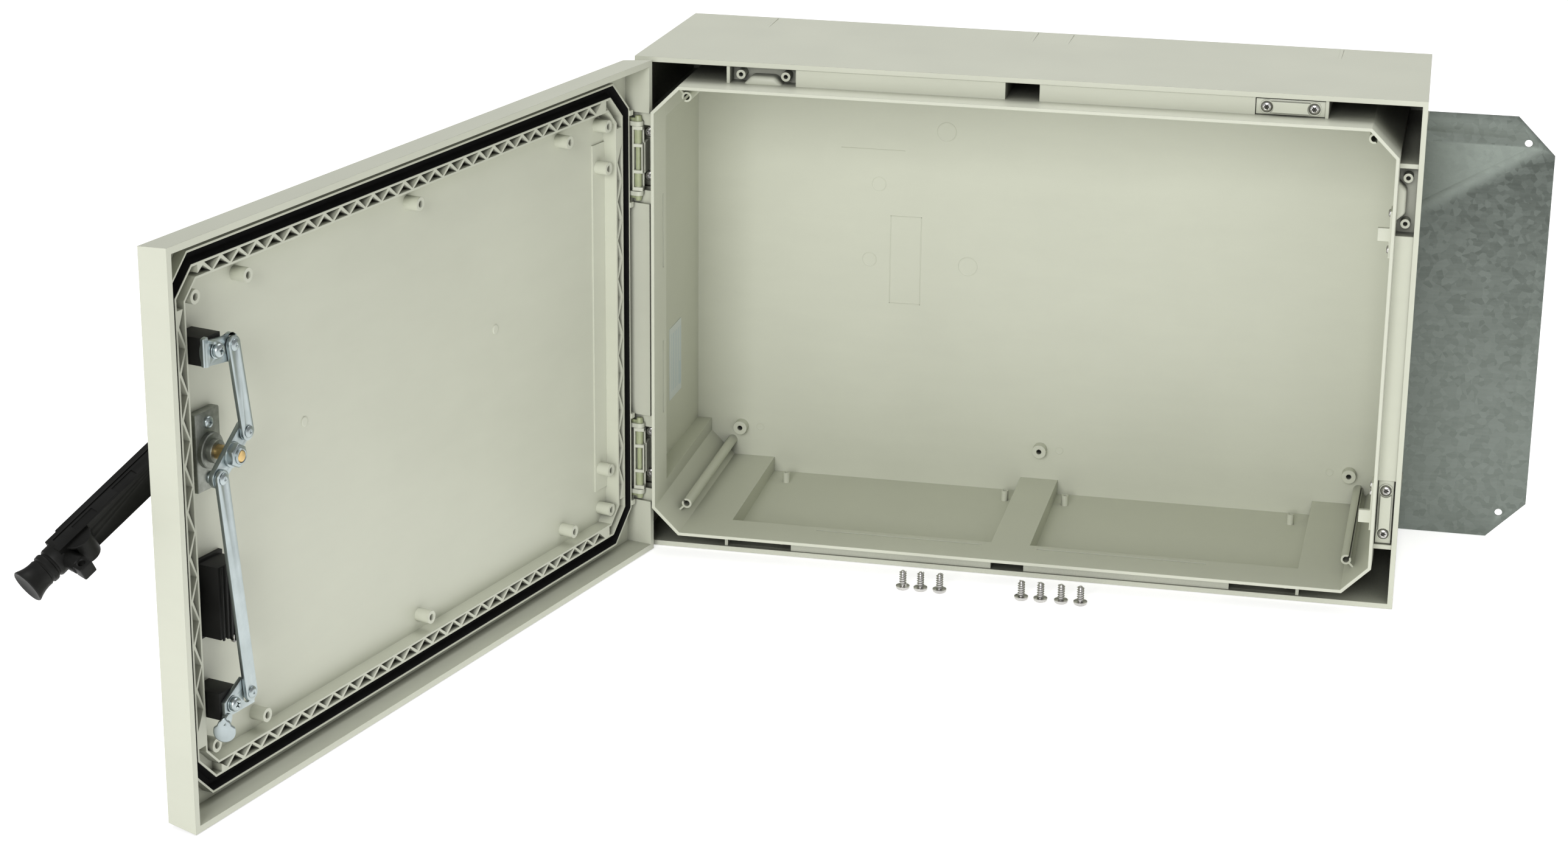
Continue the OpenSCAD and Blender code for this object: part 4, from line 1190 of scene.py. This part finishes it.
@dataclass
class Handle(SubAssembly):
    """Housing, hub, lever and barrel lock."""

    half_w: float = 10.5
    half_t: float = 7.5

    def housing(self) -> None:
        """Housing with ribs down the back of its well."""
        shell = Bench.soften(Bench.copied("handle_housing", "handle_housing_finished"), 0.5)
        ribs = []
        for u in (535.5, 539.8, 544.0, 548.2, 552.5):
            rib = Bench.block("rib", (u - 0.9, -8.6, 119.8), (u + 0.9, -7.3, 171.0))
            ribs.append(Bench.place(Bench.soften(rib, 0.4), ON_DOOR))
        piece = Bench.join("handle_housing_finished", [shell, *ribs])
        self.add(piece, "door", "black_plastic", "handle_housing")
        self.refine("housing_seal", "door", "rubber", 0.0)
        screw = PanScrew(2.6, 1.6, 1.2, 4.0, Recess.CROSS).build()
        piece = Bench.repeat(screw, "housing_screw_finished", [ON_DOOR @ shift(531.6, -15.5, 112)])
        self.add(piece, "door", "stainless", "housing_screw")

    def lever(self) -> None:
        """Lever with a cover strip, side grooves, a finger scoop, collars and a flared end."""
        w, t = self.half_w, self.half_t
        bar = Bench.block("bar", (-w, -t, -108), (w, t, 1))
        knuckle = Bench.turned("knuckle", [(t, -w), (t, w)], 40)
        Bench.fuse(bar, Bench.place(knuckle, turn(90, "Y")))
        Bench.cut(bar, Bench.place(Bench.turned("bore", [(2.05, -w - 1), (2.05, w + 1)], 24), turn(90, "Y")))
        for side in (-1, 1):
            groove = Bench.block("groove", (side * w - 0.8, -t + 3.4, -104), (side * w + 0.8, -t + 4.8, 2))
            steps = [
                Bench.block("step", (side * w - 0.5, -1.0, low), (side * w + 0.5, 5.2, low + 18))
                for low in (-90.0, -54.0)
            ]
            Bench.cut(bar, groove, *steps)
        seat = Bench.turned("seat", [(6.05, -12), (6.05, 12)], 40)
        Bench.cut(bar, Bench.place(seat, shift(0, 0, -105) @ turn(90, "X")))
        Bench.soften(bar, 0.9, 3)
        cover = Bench.soften(Bench.block("cover", (-w + 0.3, -t - 2.2, -98), (w - 0.3, -t + 3.4, -8)), 0.9, 3)
        hump = Bench.turned("hump", [(9.6, -8.6), (9.6, 8.6)], 56)
        Bench.cut(hump, Bench.place(Bench.turned("scoop", [(7.4, -6.8), (7.4, 6.8)], 48), shift(0, -4.2, 0)))
        Bench.place(hump, shift(0, t - 1.0, -93) @ turn(90, "Y") @ turn(90, "Z"))
        Bench.soften(hump, 1.0, 3)
        steps = [
            (10.6, 106.0), (10.6, 113.0), (10.2, 114.0), (9.3, 114.5), (9.3, 115.8), (10.2, 116.4),
            (10.5, 117.6), (10.3, 120.0), (9.4, 120.7), (9.4, 121.8), (9.9, 122.4), (9.8, 125.4),
            (10.2, 128.6), (11.0, 131.6), (12.2, 134.6), (12.3, 135.4), (11.7, 136.0), (8.0, 134.8),
            (3.0, 134.2),
        ]
        tip = Bench.soften(Bench.turned("tip", steps, 56), 0.0)
        seat = Bench.turned("seat", [(6.05, -14), (6.05, 14)], 40)
        Bench.cut(tip, Bench.place(seat, shift(0, 0, 105) @ turn(90, "X")))
        Bench.place(tip, turn(180, "X") @ Matrix.Diagonal((1.0, 0.92, 1.0, 1.0)))
        Bench.soften(tip, 0.0)
        lever = Bench.join("swing_lever_finished", [bar, cover, hump, tip])
        self.add(Bench.place(lever, ON_LEVER), "lever", "black_plastic", "swing_lever")

    def barrel(self) -> None:
        """Barrel lock with a cross-drilled tail."""
        steps = [(5.2, -9.6), (6.0, -9.0), (6.0, 19.2), (5.2, 20.0)]
        barrel = Bench.soften(Bench.turned("barrel", steps, 44), 0.0)
        slot = Bench.block("slot", (-0.6, -3.2, -11), (0.6, 3.2, -6))
        Bench.cut(barrel, slot)
        Bench.place(barrel, shift(0, 0, -105) @ turn(-90, "X"))
        tail = Bench.block("tail", (-5, 19, -110), (5, 28, -100))
        hole = Bench.turned("hole", [(2.4, -7), (2.4, 7)], 28)
        Bench.cut(tail, Bench.place(hole, shift(0, 23, -105) @ turn(90, "Y")))
        Bench.soften(tail, 1.1, 3)
        piece = Bench.soften(Bench.join("lock_barrel_finished", [barrel, tail]), 0.0)
        self.add(Bench.place(piece, ON_LEVER), "barrel", "black_plastic", "lock_cylinder")

    def build(self) -> None:
        """Models and dresses the handle."""
        self.housing()
        self.lever()
        self.barrel()
        self.refine("handle_hub", "hub", "black_plastic", 0.5)
        self.refine("lever_pin", "hub", "stainless", 0.2)


@dataclass
class LoosePieces(SubAssembly):
    """Mounting plate behind the body and the screws in front of it."""

    screw_xs: tuple[float, ...] = (226, 240, 255, 319, 334, 350, 365)
    screw_y: float = -48.0

    def build(self) -> None:
        """Models the screws and dresses the plate."""
        self.refine("mounting_plate", "cabinet", "galvanised", 0.3)
        screw = PanScrew(5.4, 3.2, 2.9, 12.6, Recess.CROSS, 1.9, 1.6).build()
        places = [shift(x, self.screw_y, 3.2) @ turn(47 * i, "Z") for i, x in enumerate(self.screw_xs)]
        screws = Bench.repeat(screw, "plate_screws_finished", places)
        self.add(screws, "cabinet", "stainless", "plate_screws")


@dataclass
class Studio:
    """White sweep, soft lights and the camera."""

    shop: Paintshop
    eye: Point = (655.1, -2477.4, 982.8)
    forward: Point = (-0.19963, 0.92409, -0.3259)
    right: Point = (0.97673, 0.21427, 0.00926)
    lens: float = 78.19

    def floor(self) -> None:
        """Lays the floor."""
        bpy.ops.object.select_all(action="DESELECT")
        bpy.ops.mesh.primitive_plane_add(size=40.0, location=(0, 0, -0.0004))
        sweep = Bench.named("paper_sweep")
        sweep.data.materials.append(StudioPaper("paper", "studio_paper").make())

    def softbox(self, name: str, place: Point, aim: Point, size: float, power: float) -> None:
        """Hangs one square light.

        Args:
            name: The light's name.
            place: Where it hangs, in metres.
            aim: The point that it faces, in metres.
            size: Its side, in metres.
            power: Its power in watts.
        """
        light = bpy.data.lights.new(name, "AREA")
        light.size = size
        light.energy = power
        lamp = bpy.data.objects.new(name, light)
        bpy.context.scene.collection.objects.link(lamp)
        lamp.location = place
        lamp.rotation_euler = (Vector(aim) - Vector(place)).to_track_quat("-Z", "Y").to_euler()

    def lights(self) -> None:
        """Hangs the lights and sets the ambient level."""
        self.softbox("front", (0.0, -8.0, 3.0), (0.2, 0.0, 0.2), 3.0, 330.0)
        self.softbox("top", (0.3, 0.7, 2.6), (0.3, 0.1, 0.3), 1.8, 36.0)
        world = bpy.data.worlds.new("studio")
        world.use_nodes = True
        world.node_tree.nodes["Background"].inputs["Color"].default_value = (1.0, 1.0, 1.0, 1.0)
        world.node_tree.nodes["Background"].inputs["Strength"].default_value = 0.36
        bpy.context.scene.world = world
        bpy.context.scene.view_settings.view_transform = "Standard"

    def camera(self) -> None:
        """Places the camera."""
        ahead = Vector(self.forward).normalized()
        aside = Vector(self.right).normalized()
        above = aside.cross(ahead).normalized()
        aside = ahead.cross(above)
        data = bpy.data.cameras.new("camera")
        data.sensor_width = 36.0
        data.lens = self.lens
        data.clip_start = 0.05
        data.clip_end = 100.0
        camera = bpy.data.objects.new("camera", data)
        bpy.context.scene.collection.objects.link(camera)
        turned = Matrix((aside, above, -ahead)).transposed().to_4x4()
        camera.matrix_world = Matrix.Translation(Vector(self.eye) * MM) @ turned
        bpy.context.scene.camera = camera

    def build(self) -> None:
        """Sets up the studio."""
        self.floor()
        self.lights()
        self.camera()


def main() -> None:
    """Builds every sub-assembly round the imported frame."""
    logging.basicConfig(level=logging.INFO, format="%(message)s")
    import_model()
    shop = Paintshop()
    for kind in (CabinetBody, Hinges, Door, Lock, Handle, LoosePieces):
        kind(shop).build()
    Studio(shop).build()


if __name__ == "__main__":
    main()
